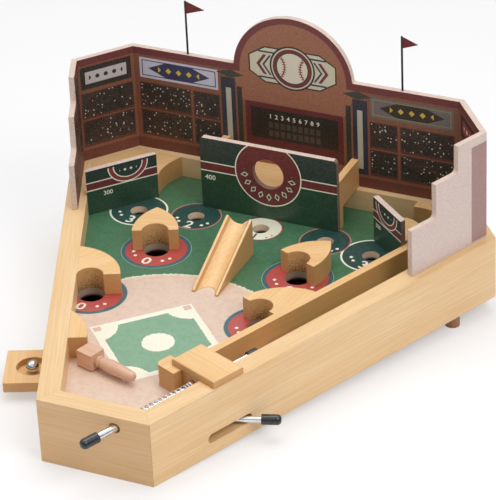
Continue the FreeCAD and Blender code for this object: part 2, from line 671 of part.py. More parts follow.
def rebound_cushion():
    """The curved block that the left wall carries beside the bat."""
    start = "side_long - cushion_from - cushion_long"
    strip = block("cushion_long", "wall_thick + cushion_thick", WELL_DEEP,
                  (start, "wall_thick", "field_level"))
    inward = "wall_thick + cushion_thick - cushion_round"
    curve = post("2 * cushion_round", WELL_DEEP, ("side_long - cushion_centre", inward, "field_level"))
    keep("left_guide_block", at_left_wall(common(strip, curve)))


def jump_ramp():
    wedge = doc.addObject("Part::Wedge", "Wedge")
    bind(wedge, Xmin="0", Xmax="ramp_wide", X2min="0", X2max="ramp_wide", Ymin="0",
         Ymax="ramp_far - ramp_near", Zmin="0", Zmax="ramp_lip", Z2min="0", Z2max="ramp_high")
    rise = "((ramp_high - ramp_lip) / (ramp_far - ramp_near))"
    slope = f"(atan({rise}) / 1 deg)"
    above = "(groove_round - groove_deep)"
    start = ("ramp_wide / 2", f"-ramp_wide * cos({slope}) - {above} * sin({slope})",
             f"ramp_lip - ramp_wide * sin({slope}) + {above} * cos({slope})")
    groove = post("2 * groove_round", "2 * (ramp_far - ramp_near)", start, f"{slope} - 90", ACROSS)
    corner = ("ramp_across - ramp_wide / 2", "ramp_near", "field_level")
    keep("ramp", put(group(cut(wedge, groove)), corner))


def upright(points, thick, holes=()):
    """A board that stands: its outline's X goes across and its Y goes up."""
    return put(group(board(points, thick, "0", holes)), ("0", thick, "0"), "90", ACROSS)


def home_run_stand():
    """The wall with the round hole, and the open box that catches a ball behind it."""
    left = "score_centre - score_wide / 2"
    right = "score_centre + score_wide / 2"
    corners = [(left, "0"), (right, "0"), (right, "score_high"), (left, "score_high")]
    face = upright(corners, "panel_thick", [("score_centre", "score_hole_high", "score_hole")])

    def top_corner(edge):
        short = abs(edge.Length - size("panel_thick")) < 0.01
        return short and edge.CenterOfMass.z > size("0.9 * score_high")

    wall_face = rounded(face, "score_round", top_corner)
    keep("home_run_wall", put(group(wall_face), ("0", "score_far", "field_level")))

    back = f"({REAR_Y} - {PANEL_BACK})"
    front = "(score_far + panel_thick)"
    keep("home_run_shelf", block("score_wide - 2 * shelf_thick", f"{back} - {front}", "shelf_thick",
                                 (f"{left} + shelf_thick", front, "wall_high")))
    props = []
    for side, start in (("left", left), ("right", f"{right} - shelf_thick")):
        keep(f"home_run_side_{side}", block("shelf_thick", f"{back} - {front}", "catch_high",
                                            (start, front, "wall_high")))
        props.append(block("shelf_thick", "prop_deep", WELL_DEEP, (start, front, "field_level")))
    keep("home_run_props", group(*props))


def left_outfield():
    """Left fence, fitted to the wall, and the block behind it with its hollow."""
    seat = ("fence_across", "fence_far", "field_level")
    fence = block("fence_long", "panel_thick", "fence_high", ("-fence_long", "0", "0"))
    keep("left_fence", common(put(group(fence), seat, "fence_angle"), well()))

    in_front = block("4 * fence_long", "2 * fence_long", "3 * fence_high",
                     ("-2 * fence_long", "panel_thick - 2 * fence_long", "-fence_high"))
    beyond = f"({REAR_Y} + wall_thick)"
    right_end = "(left_turn_across - left_block_reach)"
    near_end = "(fence_far + panel_thick * cos(fence_angle))"
    nook = board([(f"-{WIDE_X}", "fence_far - fence_long"), ("fence_across", "fence_far - fence_long"),
                  ("fence_across", near_end), (right_end, near_end), (right_end, beyond),
                  (f"-{WIDE_X}", beyond)], WELL_DEEP, "field_level")
    hollow = post("2 * left_turn_round", "2 * wall_high", ("left_turn_across", "left_turn_far", "0"))
    keep("left_corner_block", cut(common(nook, well()), put(group(in_front), seat, "fence_angle"), hollow))


def right_outfield():
    """Right fence, fitted to the divider, with its round backing and the lane's corner block."""
    seat = ("right_fence_across", "right_fence_far", "field_level")
    fence = block("right_fence_long", "panel_thick", "fence_high")
    keep("right_fence", cut(put(group(fence), seat, "-right_fence_angle"), lane_side()))

    in_front = block("4 * right_fence_long", "2 * right_fence_long", "3 * fence_high",
                     ("-2 * right_fence_long", "panel_thick - 2 * right_fence_long", "-fence_high"))
    drum = post("2 * backing_round", WELL_DEEP, ("backing_across", "backing_far", "field_level"))
    keep("fence_backing_block", cut(drum, put(group(in_front), seat, "-right_fence_angle")))

    beyond = f"({REAR_Y} + wall_thick)"
    corner = board([("right_turn_from", "right_turn_near"), (WIDE_X, "right_turn_near"), (WIDE_X, beyond),
                    ("right_turn_from", beyond)], WELL_DEEP, "field_level")
    bowl = post("2 * right_turn_round", "2 * wall_high", ("right_turn_across", "right_turn_far", "0"))
    keep("right_corner_block", cut(common(corner, well()), bowl))


def pole(sign):
    return post("pole_wide", "pole_high + pole_deep",
                (f"{REAR_X} - {sign} * pole_half", "panel_inset + panel_thick / 2",
                 "wall_high + panel_high - pole_deep"))


def stadium_panels():
    plan = mitred(REAR_LONG, REAR_MITRE, REAR_MITRE, "panel_inset", PANEL_BACK)
    arch = post("2 * arch_round", "panel_thick",
                (REAR_X, PANEL_BACK, "wall_high + arch_centre"), "90", ACROSS)
    middle = join(board(plan, "panel_high", "wall_high"), arch, *tabs(REAR_TABS, "0"))
    top = size("wall_high + panel_high")

    def arch_foot(edge):
        centre = edge.CenterOfMass
        near = abs(centre.z - top) < 0.01 and abs(centre.x - size(REAR_X)) < size("arch_round + 1")
        return near and abs(edge.Length - size("panel_thick")) < 0.01

    main = rounded(middle, "arch_hollow", arch_foot)
    keep("stadium_rear_panel", at_rear_wall(cut(main, pole("-1"), pole("1"))))
    keep("flagpole_left", at_rear_wall(pole("-1")))
    keep("flagpole_right", at_rear_wall(pole("1")))

    right_plan = mitred("return_long", WIDE_MITRE, REAR_MITRE, "panel_inset", PANEL_BACK)
    left_plan = mitred("return_long", REAR_MITRE, WIDE_MITRE, "panel_inset", PANEL_BACK)
    right = join(board(right_plan, "panel_high", "wall_high"), *tabs(RETURN_TABS, "0"))
    left = join(board(left_plan, "panel_high", "wall_high"), *tabs(RETURN_TABS, "0"))
    keep("stadium_right_angled_panel", at_right_return(right))
    keep("stadium_left_angled_panel", at_left_return(left))


def stepped_panel(side):
    """A side panel whose top comes down in two steps towards the player."""
    on_right = side == "right"
    start, end = (FRONT_MITRE, WIDE_MITRE) if on_right else (WIDE_MITRE, FRONT_MITRE)
    panel = board(mitred("side_long", start, end, "panel_inset", PANEL_BACK), "panel_high", "wall_high")
    second_from = "step_from + step_one_long"
    waste = [("0", "step_from", "0"), ("step_from", "step_one_long", "step_one_high"),
             (second_from, "step_two_long", "step_two_high")]
    for at, long, high in waste:
        near_edge = at if on_right else f"side_long - ({at}) - {long}"
        panel = cut(panel, block(long, "2 * wall_thick", "2 * panel_high",
                                 (near_edge, "0", f"wall_high + {high}")))
    tab = "tab_along" if on_right else "side_long - tab_along"
    steps = [(second_from, "step_one_high"), (f"{second_from} + step_two_long", "step_two_high")]
    corners = []
    for along, high in steps:
        place = along if on_right else f"side_long - ({along})"
        corners.append((size(place), size(f"wall_high + {high}")))

    def inner_corner(edge):
        middle = edge.CenterOfMass
        return any(abs(middle.x - x) < 0.01 and abs(middle.z - z) < 0.01 for x, z in corners)

    return rounded(join(panel, *tabs([tab], "0")), "step_round", inner_corner)


def side_panels():
    keep("stadium_right_stepped_panel", at_right_wall(stepped_panel("right")))
    keep("stadium_left_stepped_panel", at_left_wall(stepped_panel("left")))


def pennants():
    """Triangular flags that point right, each notched round its pole."""
    top = "wall_high + panel_high + pole_high"
    middle = f"({REAR_Y} - panel_inset - panel_thick / 2)"
    shapes = [("left", "-1", "pennant_long", "pennant_high"),
              ("right", "1", "right_pennant_long", "right_pennant_high")]
    for side, sign, long, high in shapes:
        flag = upright([("0", f"-{high}"), (long, f"-{high} / 2"), ("0", "0")], "pennant_thick")
        seated = put(group(flag), (f"{sign} * pole_half", f"{middle} - pennant_thick / 2", top))
        keep(f"pennant_{side}", cut(seated, at_rear_wall(pole(sign))))


def along_plunger(thing):
    return put(group(thing), ("rod_across", "0", "rod_level"), ROD_HEADING)


def bar(wide, start, end):
    """A round bar along X."""
    return post(wide, f"{end} - ({start})", (start, "0", "0"), "90", AWAY)


def rim_at(place, wide="0"):
    """Picks the rims of a round bar that lie at a place along X and are wider than a size."""
    along = size(place)
    bore = math.pi * size(wide)

    def rim(edge):
        return edge.Closed and abs(edge.CenterOfMass.x - along) < 0.01 and edge.Length > bore + 0.01

    return rim


def knob(foot, bore_wide, bore_from):
    """A rubber knob with a domed outer end, pushed over a rod that lies along X."""
    end = f"({foot} - knob_long)"
    dome = rounded(bar("knob_wide", end, foot), "knob_dome", rim_at(end))
    return cut(dome, bar(bore_wide, bore_from, f"{foot} + knob_long"))


def plunger():
    """Rod, rubber knob and tip, and the collar that the spring holds against its stop."""
    rod_end = "(tip_from + tip_long / 2)"
    grip = bar("grip_wide", "-rod_out", "mouth_deep - loose_gap")
    keep("plunger_rod", along_plunger(join(grip, bar("rod_wide", "-rod_out", rod_end))))
    keep("plunger_knob", along_plunger(knob("(knob_long - knob_out)", "grip_wide", "-rod_out")))
    tip = cut(bar("tip_wide", "tip_from", "tip_from + tip_long"), bar("rod_wide", "0", rod_end))
    keep("plunger_tip", along_plunger(rounded(tip, "tip_round", rim_at("tip_from + tip_long"))))
    collar_foot = f"{COLLAR_FACE} - collar_long"
    collar = cut(bar("collar_wide", collar_foot, COLLAR_FACE), bar("rod_wide", "0", rod_end))
    both_rims = [rim_at(collar_foot, "rod_wide"), rim_at(COLLAR_FACE, "rod_wide")]
    keep("plunger_collar", along_plunger(rounded(collar, "collar_round",
                                                 lambda edge: any(rim(edge) for rim in both_rims))))


def quarter_pitches(length, wire):
    """The pitch of each quarter turn: close turns at both ends and open ones between."""
    ends = round(4 * size("coil_end_turns"))
    open_turns = round(4 * size("coil_turns"))
    close_pitch = wire + size("coil_close_gap")
    open_pitch = 4 * (length - wire - 2 * ends * close_pitch / 4) / open_turns
    return [close_pitch] * ends + [open_pitch] * open_turns + [close_pitch] * ends


def swept(path, rim):
    """A wire of flat sides along a path. Its section is turned until the tube closes soundly."""
    for eighth in range(8):
        turns = [(number + eighth / 8) / WIRE_SIDES for number in range(WIRE_SIDES)]
        corners = [rim.value(2 * math.pi * turn) for turn in turns]
        tube = path.makePipeShell([Part.makePolygon(corners + corners[:1])], True, False)
        if tube.Solids and tube.isValid():
            break
    return tube


def plunger_spring():
    """One unbroken wire on arcs of a quarter turn, each leaning with its own pitch."""
    wire = size("coil_wire")
    mean_radius = (size("coil_wide") - wire) / 2
    start = size("seat_from")
    length = size(f"{COLLAR_FACE} - collar_long - seat_from")
    along = [start + wire / 2]
    for pitch in quarter_pitches(length, wire):
        along.append(along[-1] + pitch / 4)

    def helix_point(step):
        whole = min(int(step), len(along) - 2)
        x = along[whole] + (along[whole + 1] - along[whole]) * (step - whole)
        angle = math.pi / 2 * step
        return Vector(x, mean_radius * math.cos(angle), mean_radius * math.sin(angle))

    arcs = [Part.Arc(helix_point(step), helix_point(step + 0.5), helix_point(step + 1)).toShape()
            for step in range(len(along) - 1)]
    path = Part.Wire(arcs)
    rim = Part.Circle(helix_point(0), arcs[0].tangentAt(arcs[0].FirstParameter), wire / 2)
    spring = doc.addObject("Part::Feature", "Spring")
    spring.Shape = swept(path, rim)
    measured = spring.Shape.Volume / (math.pi * wire ** 2 / 4 * path.Length)
    print("spring's volume over its section times its length:", round(measured, 4))
    fine = 8
    points = [helix_point(step / fine) for step in range(fine * (len(along) - 1) + 1)]
    apart = [(a - b).Length for number, a in enumerate(points) for b in points[number + 2 * fine:]]
    print("spring's least gap to itself:", round(min(apart) - wire, 3), "mm")
    keep("plunger_spring", along_plunger(spring))


def at_bat(thing, turn="0"):
    return put(group(thing), ("bat_across", "bat_far", "0"), turn)


def link(end, level):
    """A flat steel link with round ends, along X from its pivot."""
    return join(block(end, "link_wide", "link_thick", ("0", "-link_wide / 2", level)),
                post("link_wide", "link_thick", ("0", "0", level)),
                post("link_wide", "link_thick", (end, "0", level)))


def bat():
    """A square block on the shaft, with a barrel turned out of the same piece of wood."""
    half = "bat_block_long / 2"
    underside = "(field_level + bat_lift)"
    blank = block("bat_block_long", "bat_block_wide", "bat_block_high",
                  (f"-{half}", "-bat_block_wide / 2", underside))
    bead = f"({half} + bead_from)"
    bead_end = f"({bead} + bead_long)"
    swell = f"({bead_end} + bat_swell)"
    points = [("0", "0"), ("0", "bat_neck / 2"), (f"{bead} - bead_slope", "bat_neck / 2"),
              (bead, "bead_wide / 2"), (bead_end, "bead_wide / 2"),
              (f"{bead_end} + bead_slope", "bat_neck / 2"),
              (f"{bead_end} + 4 * bead_slope", "0.3 * bat_neck + 0.2 * bat_barrel"),
              (swell, "bat_barrel / 2"), (f"{swell} + bat_swell", "0.48 * bat_barrel"),
              ("bat_long", "bat_tip / 2"), ("bat_long", "0")]
    spindle = rounded(turned(points), "bat_nose", rim_at("bat_long"))
    barrel = put(group(spindle), ("0", "0", "bat_level"))
    bore = post("shaft_wide", "shaft_grip", ("0", "0", underside))
    keep("bat", at_bat(cut(join(blank, barrel), bore), "-bat_rest"))
    shaft = post("shaft_wide", f"{underside} + shaft_grip - base_level", ("0", "0", "base_level"))
    keep("bat_shaft", at_bat(shaft))
    crank = cut(link("crank_long", "crank_level"), post("shaft_wide", "wall_high"),
                post("pin_wide", "wall_high", ("crank_long", "0", "0")))
    keep("bat_crank", at_bat(crank, CRANK_REST))
    pin = post("pin_wide", "crank_level + link_thick - fork_level + loose_gap",
               ("crank_long", "0", "fork_level - loose_gap"))
    keep("crank_pin", at_bat(pin, CRANK_REST))


def at_lever(thing, turn="0"):
    return put(group(thing), ("lever_across", "lever_far", "0"), turn)


def lever():
    """Rod through the side wall's slot, its hub under the board, and the fork that turns the crank."""
    low = f"({BASE_TOP} + loose_gap)"
    high = f"({FIELD_UNDER} - loose_gap)"
    rod_start = "(pivot_wide / 2 + lever_seat)"
    rod = put(group(bar("lever_wide", rod_start, "lever_long")), ("0", "0", "lever_level"))
    keep("lever_rod", at_lever(rod, "lever_rest"))
    body = join(post("hub_wide", f"fork_level - {low}", ("0", "0", low)),
                post("spigot_wide", f"{high} - fork_level", ("0", "0", "fork_level")))
    side_hole = put(group(bar("lever_wide", rod_start, "2 * hub_wide")), ("0", "0", "lever_level"))
    bore = post("pivot_wide + 2 * running_gap", "wall_high")
    keep("lever_hub", at_lever(cut(body, bore, side_hole), "lever_rest"))
    grip = put(group(knob("(knob_long - lever_long - lever_cap)", "lever_wide", "-lever_long")),
               ("0", "0", "lever_level"), "180")
    keep("lever_knob", at_lever(grip, "lever_rest"))
    slot = block("fork_long", "pin_wide + 2 * pin_play", "wall_high",
                 ("fork_from", "-pin_wide / 2 - pin_play", "0"))
    slot_end = post("pin_wide + 2 * pin_play", "wall_high", ("fork_from", "0", "0"))
    spigot_hole = post("spigot_wide", "wall_high")
    fork = cut(link("fork_long - link_wide / 2", "fork_level"), slot, slot_end, spigot_hole)
    keep("lever_fork", at_lever(fork, FORK_HEADING))
    pin = post("pivot_wide", f"{FIELD_UNDER} + pivot_housing - base_level", ("0", "0", "base_level"))
    keep("lever_pivot_pin", at_lever(pin))


def ball_tray():
    """A sliding board with a round recess that brings balls out to the player's hand."""
    level = f"({BASE_TOP} + loose_gap)"
    start = "(side_long - tray_from - tray_wide)"
    middle = f"({start} + tray_wide / 2)"
    cup_floor = f"({level} + tray_thick - cup_deep)"
    plank = block("tray_wide", "tray_out + wall_thick + tray_grip", "tray_thick",
                  (start, "-tray_out", level))
    cup = post("cup_wide", "2 * cup_deep", (middle, "-cup_out", cup_floor))

    def outer_corner(edge):
        upright_edge = abs(edge.Length - size("tray_thick")) < 0.01
        return upright_edge and edge.CenterOfMass.y < size("tray_round - tray_out")

    keep("ball_tray", at_left_wall(cut(rounded(plank, "tray_round", outer_corner), cup)))
    ball = doc.addObject("Part::Sphere", "Ball")
    bind(ball, Radius="ball_wide / 2")
    put(ball, (middle, "-cup_out", f"{cup_floor} + ball_wide / 2"))
    keep("steel_ball", at_left_wall(ball))
    runners = {"rear": f"{start} - loose_gap - runner_wide", "front": f"{start} + tray_wide + loose_gap"}
    for name, along in runners.items():
        strip = block("runner_wide", "tray_grip + tray_travel", "runner_wide",
                      (along, "wall_thick", BASE_TOP))
        keep(f"tray_runner_{name}", at_left_wall(strip))


def check_and_write():
    doc.recompute()
    for each in doc.Objects:
        if "Invalid" in each.State or "Error" in each.State:
            raise RuntimeError(f"{each.Label} failed: {each.State}")
    os.makedirs("parts", exist_ok=True)
    for node in NODES:
        if node.Shape.isNull() or not node.Shape.Solids or not node.Shape.isValid():
            raise RuntimeError(f"{node.Label} has no valid shape")
    for node in NODES:
        solids = node.Shape.Solids
        shape = solids[0] if len(solids) == 1 else Part.makeCompound(solids)
        shape.exportStep(f"parts/{node.Label}.step")
    print(len(NODES), "sub-parts written")


front_wall()
side_walls()
rear_walls()
playfield()
base_panel()
rear_feet()
launch_lane()
out_blocks()
rebound_cushion()
jump_ramp()
home_run_stand()
left_outfield()
right_outfield()
stadium_panels()
side_panels()
pennants()
plunger()
plunger_spring()
bat()
lever()
ball_tray()
check_and_write()
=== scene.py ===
"""Finishes, printed artwork, coil spring, camera and lights of a wooden tabletop ball game.

Measures are in millimetres in the board's own frame: X to the right, Y from the player
to the back, Z square to the playfield. BOARD turns them into the frame's metres.
"""
import bmesh
import bpy
import functools
import math
from mathutils import Matrix, Vector


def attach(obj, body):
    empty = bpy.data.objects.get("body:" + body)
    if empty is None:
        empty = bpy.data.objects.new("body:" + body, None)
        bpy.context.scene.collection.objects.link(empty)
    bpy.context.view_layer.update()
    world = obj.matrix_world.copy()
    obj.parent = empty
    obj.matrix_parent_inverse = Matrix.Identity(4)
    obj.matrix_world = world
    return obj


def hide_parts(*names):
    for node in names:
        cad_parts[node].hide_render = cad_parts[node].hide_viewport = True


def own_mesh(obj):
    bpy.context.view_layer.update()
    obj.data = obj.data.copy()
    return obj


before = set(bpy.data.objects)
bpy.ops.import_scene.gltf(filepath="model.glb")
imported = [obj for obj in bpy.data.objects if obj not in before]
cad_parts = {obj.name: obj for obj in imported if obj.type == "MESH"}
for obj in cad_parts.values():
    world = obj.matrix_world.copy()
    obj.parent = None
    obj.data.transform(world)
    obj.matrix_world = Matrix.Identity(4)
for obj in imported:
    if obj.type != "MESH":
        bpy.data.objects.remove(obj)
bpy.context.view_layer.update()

# The board's frame
TILT = math.radians(2.46)
REST_LAND = 3.0
FLARE_DEGREES = 23.2
FLARE = math.radians(FLARE_DEGREES)
RETURN_DEGREES = 51.6
RETURN = math.radians(RETURN_DEGREES)
LEAN = Matrix.Rotation(TILT, 4, "X")
SHIFT = Matrix.Translation((0, -REST_LAND / 2, -REST_LAND * math.sin(TILT)))
BOARD = Matrix.Scale(0.001, 4) @ SHIFT @ LEAN
FROM_FRAME = BOARD.inverted()

FRONT_HALF = 54.0
SIDE_LONG = 424.0
RETURN_LONG = 73.9
RIM = 64.0
FIELD = 42.5
WIDE_X = FRONT_HALF + SIDE_LONG * math.sin(FLARE)
WIDE_Y = SIDE_LONG * math.cos(FLARE)
REAR_Y = WIDE_Y + RETURN_LONG * math.sin(RETURN)
PANEL_INSET = 7.5
PANEL_THICK = 5.5
PANEL_BACK = PANEL_INSET + PANEL_THICK
PANEL_TOP = 174.5
ARCH_Z = 169.8
ARCH_ROUND = 61.7


def tint(code):
    """The linear light of a colour that is written as six hexadecimal digits."""
    parts = [int(code[i:i + 2], 16) / 255 for i in (0, 2, 4)]
    linear = [p / 12.92 if p <= 0.04045 else ((p + 0.055) / 1.055) ** 2.4 for p in parts]
    return (*linear, 1.0)


class Level:
    """A number that varies over a surface. Sums with it add Math nodes to its finish."""

    def __init__(self, finish, socket):
        self.finish = finish
        self.socket = socket

    def maths(self, operation, *others):
        made = self.finish.node("Math", {"operation": operation}, dict(enumerate((self, *others))))
        return Level(self.finish, made.outputs[0])

    def __add__(self, other):
        return self.maths("ADD", other)

    def __sub__(self, other):
        return self.maths("SUBTRACT", other)

    def __rsub__(self, other):
        return self.maths("MULTIPLY_ADD", -1, other)

    def __mul__(self, other):
        return self.maths("MULTIPLY", other)

    def __truediv__(self, other):
        return self.maths("DIVIDE", other)

    def __pow__(self, other):
        return self.maths("POWER", other)

    def __abs__(self):
        return self.maths("ABSOLUTE")

    def __lt__(self, other):
        return self.maths("LESS_THAN", other)

    def __gt__(self, other):
        return self.maths("GREATER_THAN", other)

    def __and__(self, other):
        return self.maths("MULTIPLY", other)

    def __or__(self, other):
        return self.maths("MAXIMUM", other)

    def between(self, low, high):
        return (self > low) & (self < high)

    def near(self, middle, half):
        return abs(self - middle) < half

    def off_step(self, step):
        """How far the number is from the nearest whole number of steps."""
        return abs(self - (self / step + 0.5).maths("FLOOR") * step)


def either(masks):
    """Where any of the masks is on."""
    return functools.reduce(lambda one, other: one | other, masks)


class Finish:
    """One material, and the nodes that its looks are made of."""

    def __init__(self, name, **steady):
        self.material = bpy.data.materials.new(name)
        self.material.use_nodes = True
        self.tree = self.material.node_tree
        self.shader = self.tree.nodes["Principled BSDF"]
        for socket, value in steady.items():
            self.shader.inputs[socket.replace("_", " ")].default_value = value

    def node(self, kind, settings=None, sockets=None):
        made = self.tree.nodes.new("ShaderNode" + kind)
        for key, value in (settings or {}).items():
            setattr(made, key, value)
        for key, value in (sockets or {}).items():
            self.feed(made.inputs[key], value)
        return made

    def feed(self, socket, value):
        """Gives a socket a number, a colour's digits, or what another node puts out."""
        if isinstance(value, str):
            value = tint(value)
        if isinstance(value, Level):
            value = value.socket
        if isinstance(value, bpy.types.NodeSocket):
            self.tree.links.new(value, socket)
        else:
            socket.default_value = value

    def board(self):
        """The place on the board, in millimetres."""
        where = self.node("TexCoord").outputs["Object"]
        place = tuple(FROM_FRAME.translation)
        scale = tuple(FROM_FRAME.to_scale())
        return self.mapped(where, Location=place, Rotation=(-TILT, 0, 0), Scale=scale)

    def mapped(self, where, **sockets):
        return self.node("Mapping", {}, {"Vector": where, **sockets}).outputs[0]

    def turned(self, where, heading, upright):
        """The same place with its X along a heading in the board's plane, or upward."""
        flat = self.mapped(where, Rotation=(0, 0, -math.radians(heading)))
        return self.mapped(flat, Rotation=(0, math.pi / 2, 0)) if upright else flat

    def axes(self, where):
        made = self.node("SeparateXYZ", {}, {0: where})
        return [Level(self, made.outputs[i]) for i in range(3)]

    def noise(self, where, scale, detail=2.0, rough=0.5):
        sockets = {"Vector": where, "Scale": scale, "Detail": detail, "Roughness": rough}
        return Level(self, self.node("TexNoise", {}, sockets).outputs[0])

    def cells(self, where, scale):
        """Distance to the nearest of scattered points, and a number of that point's own."""
        made = self.node("TexVoronoi", {}, {"Vector": where, "Scale": scale})
        own = self.node("SeparateColor", {}, {0: made.outputs["Color"]})
        return Level(self, made.outputs["Distance"]), Level(self, own.outputs[0])

    def fade(self, value, low, high):
        """0 below low, 1 above high and a smooth step between."""
        made = self.node("MapRange", {"interpolation_type": "SMOOTHSTEP"},
                         {"Value": value, "From Min": low, "From Max": high})
        return Level(self, made.outputs[0])

    def angle(self, rise, run):
        """The turn of a direction, in radians."""
        return Level(self, self.node("Math", {"operation": "ARCTAN2"}, {0: rise, 1: run}).outputs[0])

    def blend(self, under, over, mask):
        """One colour over another. A Mix node has its two colours at sockets 6 and 7."""
        colours = {0: mask, 6: under, 7: over}
        return self.node("Mix", {"data_type": "RGBA"}, colours).outputs[2]

    def layers(self, paint, *pairs):
        """Lays colours over the paint in turn, each where its mask is on."""
        for mask, over in pairs:
            paint = self.blend(paint, over, mask)
        return paint

    def soft_edges(self, radius):
        """A normal that rounds the edges, and how near the edge is, 0 to 1."""
        bent = self.node("Bevel", {"samples": 4}, {"Radius": radius / 1000}).outputs[0]
        flat = self.node("NewGeometry").outputs["Normal"]
        dot = self.node("VectorMath", {"operation": "DOT_PRODUCT"}, {0: bent, 1: flat}).outputs["Value"]
        return bent, self.fade(1 - Level(self, dot), 0.01, 0.25)

    def bump(self, height, depth, normal=None):
        sockets = {"Height": height, "Distance": depth / 1000, "Strength": 1.0}
        if normal is not None:
            sockets["Normal"] = normal
        self.feed(self.shader.inputs["Normal"], self.node("Bump", {}, sockets).outputs[0])

    def colour(self, paint):
        self.feed(self.shader.inputs["Base Color"], paint)

    def roughness(self, value):
        self.feed(self.shader.inputs["Roughness"], value)


def size(x, y):
    """How far a place is from zero, from its two axes."""
    return (x * x + y * y) ** 0.5


def wall_axes(x, y, side):
    """Along the side wall's outer face, and inward from it."""
    across = x * side - FRONT_HALF
    along = across * math.sin(FLARE) + y * math.cos(FLARE)
    inward = y * math.sin(FLARE) - across * math.cos(FLARE)
    return along, inward


def return_axes(x, y, side):
    """Along the return wall's outer face from the widest corner, and inward from it."""
    across = x * side - WIDE_X
    away = y - WIDE_Y
    along = away * math.sin(RETURN) - across * math.cos(RETURN)
    inward = across * -math.sin(RETURN) - away * math.cos(RETURN)
    return along, inward


# Wood
# The last tone of each wood is how strongly a painted shade darkens its upright faces
PINE = dict(pale="F0CFA0", deep="E5BC86", line="C9975C", side_shade=0.0)
TRIM = dict(pale="F3CC97", deep="E8B97C", line="C68F50", side_shade=0.6)
BEECH = dict(pale="E5BDA2", deep="D9AB8F", line="B98A70", side_shade=0.0)
WALNUT = dict(pale="B27C54", deep="8E5F3F", line="5E3C26", side_shade=0.0)
# Painted shade on upright wooden faces, and a further painted shade on the front wall's face
SIDE_SHADE_COLOUR = "B47A3A"
SHADED_FRONT = "BC8042"
TORN = ("D8AA70", "4C2F17")
TEAR_DEPTH = 5
# How close the grain's marks are, along it and in its two other directions
WANDER = (0.004, 0.02, 0.02)
STREAKS = (0.016, 0.55, 0.55)
BROAD_BANDS = (0.007, 0.045, 0.045)
FLECKS = (0.16, 1.3, 1.3)
RING_WANDER = 26
OUT_ROUND = 12.3


def wood_paint(made, where, tones, ring_gap, pith):
    """Growth rings round a pith that runs along X, streaks and short flecks."""
    _, across, up = made.axes(where)
    wander = made.noise(made.mapped(where, Scale=WANDER), 1.0, 2.0)
    rings = (size(across + pith[0], up + pith[1]) + wander * RING_WANDER) / ring_gap
    late = made.fade(abs(rings.maths("FRACT") - 0.5) * 2, 0.35, 1.0)
    streak = made.noise(made.mapped(where, Scale=STREAKS), 1.0, 4.0, 0.6)
    broad = made.noise(made.mapped(where, Scale=BROAD_BANDS), 1.0, 2.0)
    near, own = made.cells(made.mapped(where, Scale=FLECKS), 1.0)
    fleck = (near < 0.3) & (own > 0.62)
    tone = made.fade(streak * 0.75 + broad * 0.6 - 0.18, 0.22, 0.75)
    paint = made.blend(tones["pale"], tones["deep"], tone)
    paint = made.layers(paint, (late * (streak * 0.16), tones["line"]), (fleck * 0.1, tones["line"]))
    return paint, streak - fleck * 0.25 + late * 0.12


def wood(name, tones, heading=0.0, upright=False, ring_gap=3.4, pith=(61.0, 83.0), notch=None):
    """Lacquered solid wood. A notch is a round bored hollow, which stays rough."""
    made = Finish(name, Coat_Weight=0.18, Coat_Roughness=0.24)
    board = made.board()
    paint, relief = wood_paint(made, made.turned(board, heading, upright), tones, ring_gap, pith)
    bent, edge = made.soft_edges(0.7)
    x, y, z = made.axes(board)
    facing = made.axes(made.node("NewGeometry").outputs["Normal"])
    # Upright faces, and the front wall's face, get a painted shade
    upright_in_shade = abs(facing[2]) < 0.6
    front_face = y < 0.5
    paint = made.layers(paint, (upright_in_shade * tones["side_shade"], SIDE_SHADE_COLOUR), (edge * 0.22, tones["line"]),
                        (front_face * 0.3, SHADED_FRONT))
    rough = relief * 0.14 + 0.4
    if notch:
        inside = size(x - notch[0], y - notch[1]) < OUT_ROUND + 0.35
        grit = made.noise(board, 1.1, 4.0, 0.75)
        # The notch's wall is darker towards its bottom
        torn = made.blend(*TORN, made.fade(grit - (z - FIELD) * 0.006, 0.42, 0.6))
        paint = made.blend(paint, torn, inside)
        relief = relief + inside * grit * TEAR_DEPTH
        rough = rough + inside * 0.4
    made.colour(paint)
    made.roughness(rough)
    made.bump(relief, 0.09, bent)
    return made.material


# Metal and rubber
def steel(name, pale, dark, polish, dulling):
    """Steel with a fine mottle that dulls it, a few nicks, and edges painted brighter as a painted
    highlight.
    """
    made = Finish(name, Metallic=1.0)
    board = made.board()
    fine = made.noise(board, 1.6, 5.0, 0.65)
    cloud = made.noise(board, 0.09, 2.0)
    near, own = made.cells(board, 0.8)
    nick = (near < 0.16) & (own > 0.8)
    bent, edge = made.soft_edges(0.25)
    paint = made.blend(pale, dark, made.fade(cloud + fine * 0.3, 0.4, 0.95))
    # Edges painted paler: a painted highlight
    made.colour(made.blend(paint, "F4F4F6", edge * 0.4))
    made.roughness(fine * dulling + nick * 0.15 + polish)
    made.bump(fine * 0.25 - nick * 0.6, 0.02, bent)
    return made.material


def rubber():
    """Moulded rubber with a fine grain, some dust, and paler edges that are a painted highlight."""
    made = Finish("moulded rubber", Coat_Weight=0.4, Coat_Roughness=0.1)
    board = made.board()
    grain = made.noise(board, 2.6, 3.0, 0.6)
    dust = made.fade(made.noise(board, 0.35, 3.0), 0.42, 0.75)
    bent, edge = made.soft_edges(0.5)
    paint = made.blend("12141A", "262A33", dust * 0.6)
    # Edges painted paler: a painted highlight
    made.colour(made.blend(paint, "4A505E", edge * 0.4))
    made.roughness(grain * 0.14 + dust * 0.1 + 0.24)
    made.bump(grain, 0.03, bent)
    return made.material


# Printed board
GRASS = ("3F7450", "34664A")
LAWN = ("7DA888", "719C7C")
DIRT = ("E2C8B4", "D3B4A0")
CHALK = "E4DCC0"
CREAM = "F5F2DE"
TEAL = "10443F"
RED = "B4443E"
MAROON = "6A2026"
SEA_BLUE = "2C5560"
DARK_TEAL = "16302F"
EDGE_BAND = "6D2A2E"
INK = "241A1C"
PAPER = "CFCAB4"
NAVY = "2B3350"
WINE = "6A2430"


def speckle(made, board):
    """The even grit of pressed board."""
    return made.noise(board, 0.9, 4.0, 0.7)


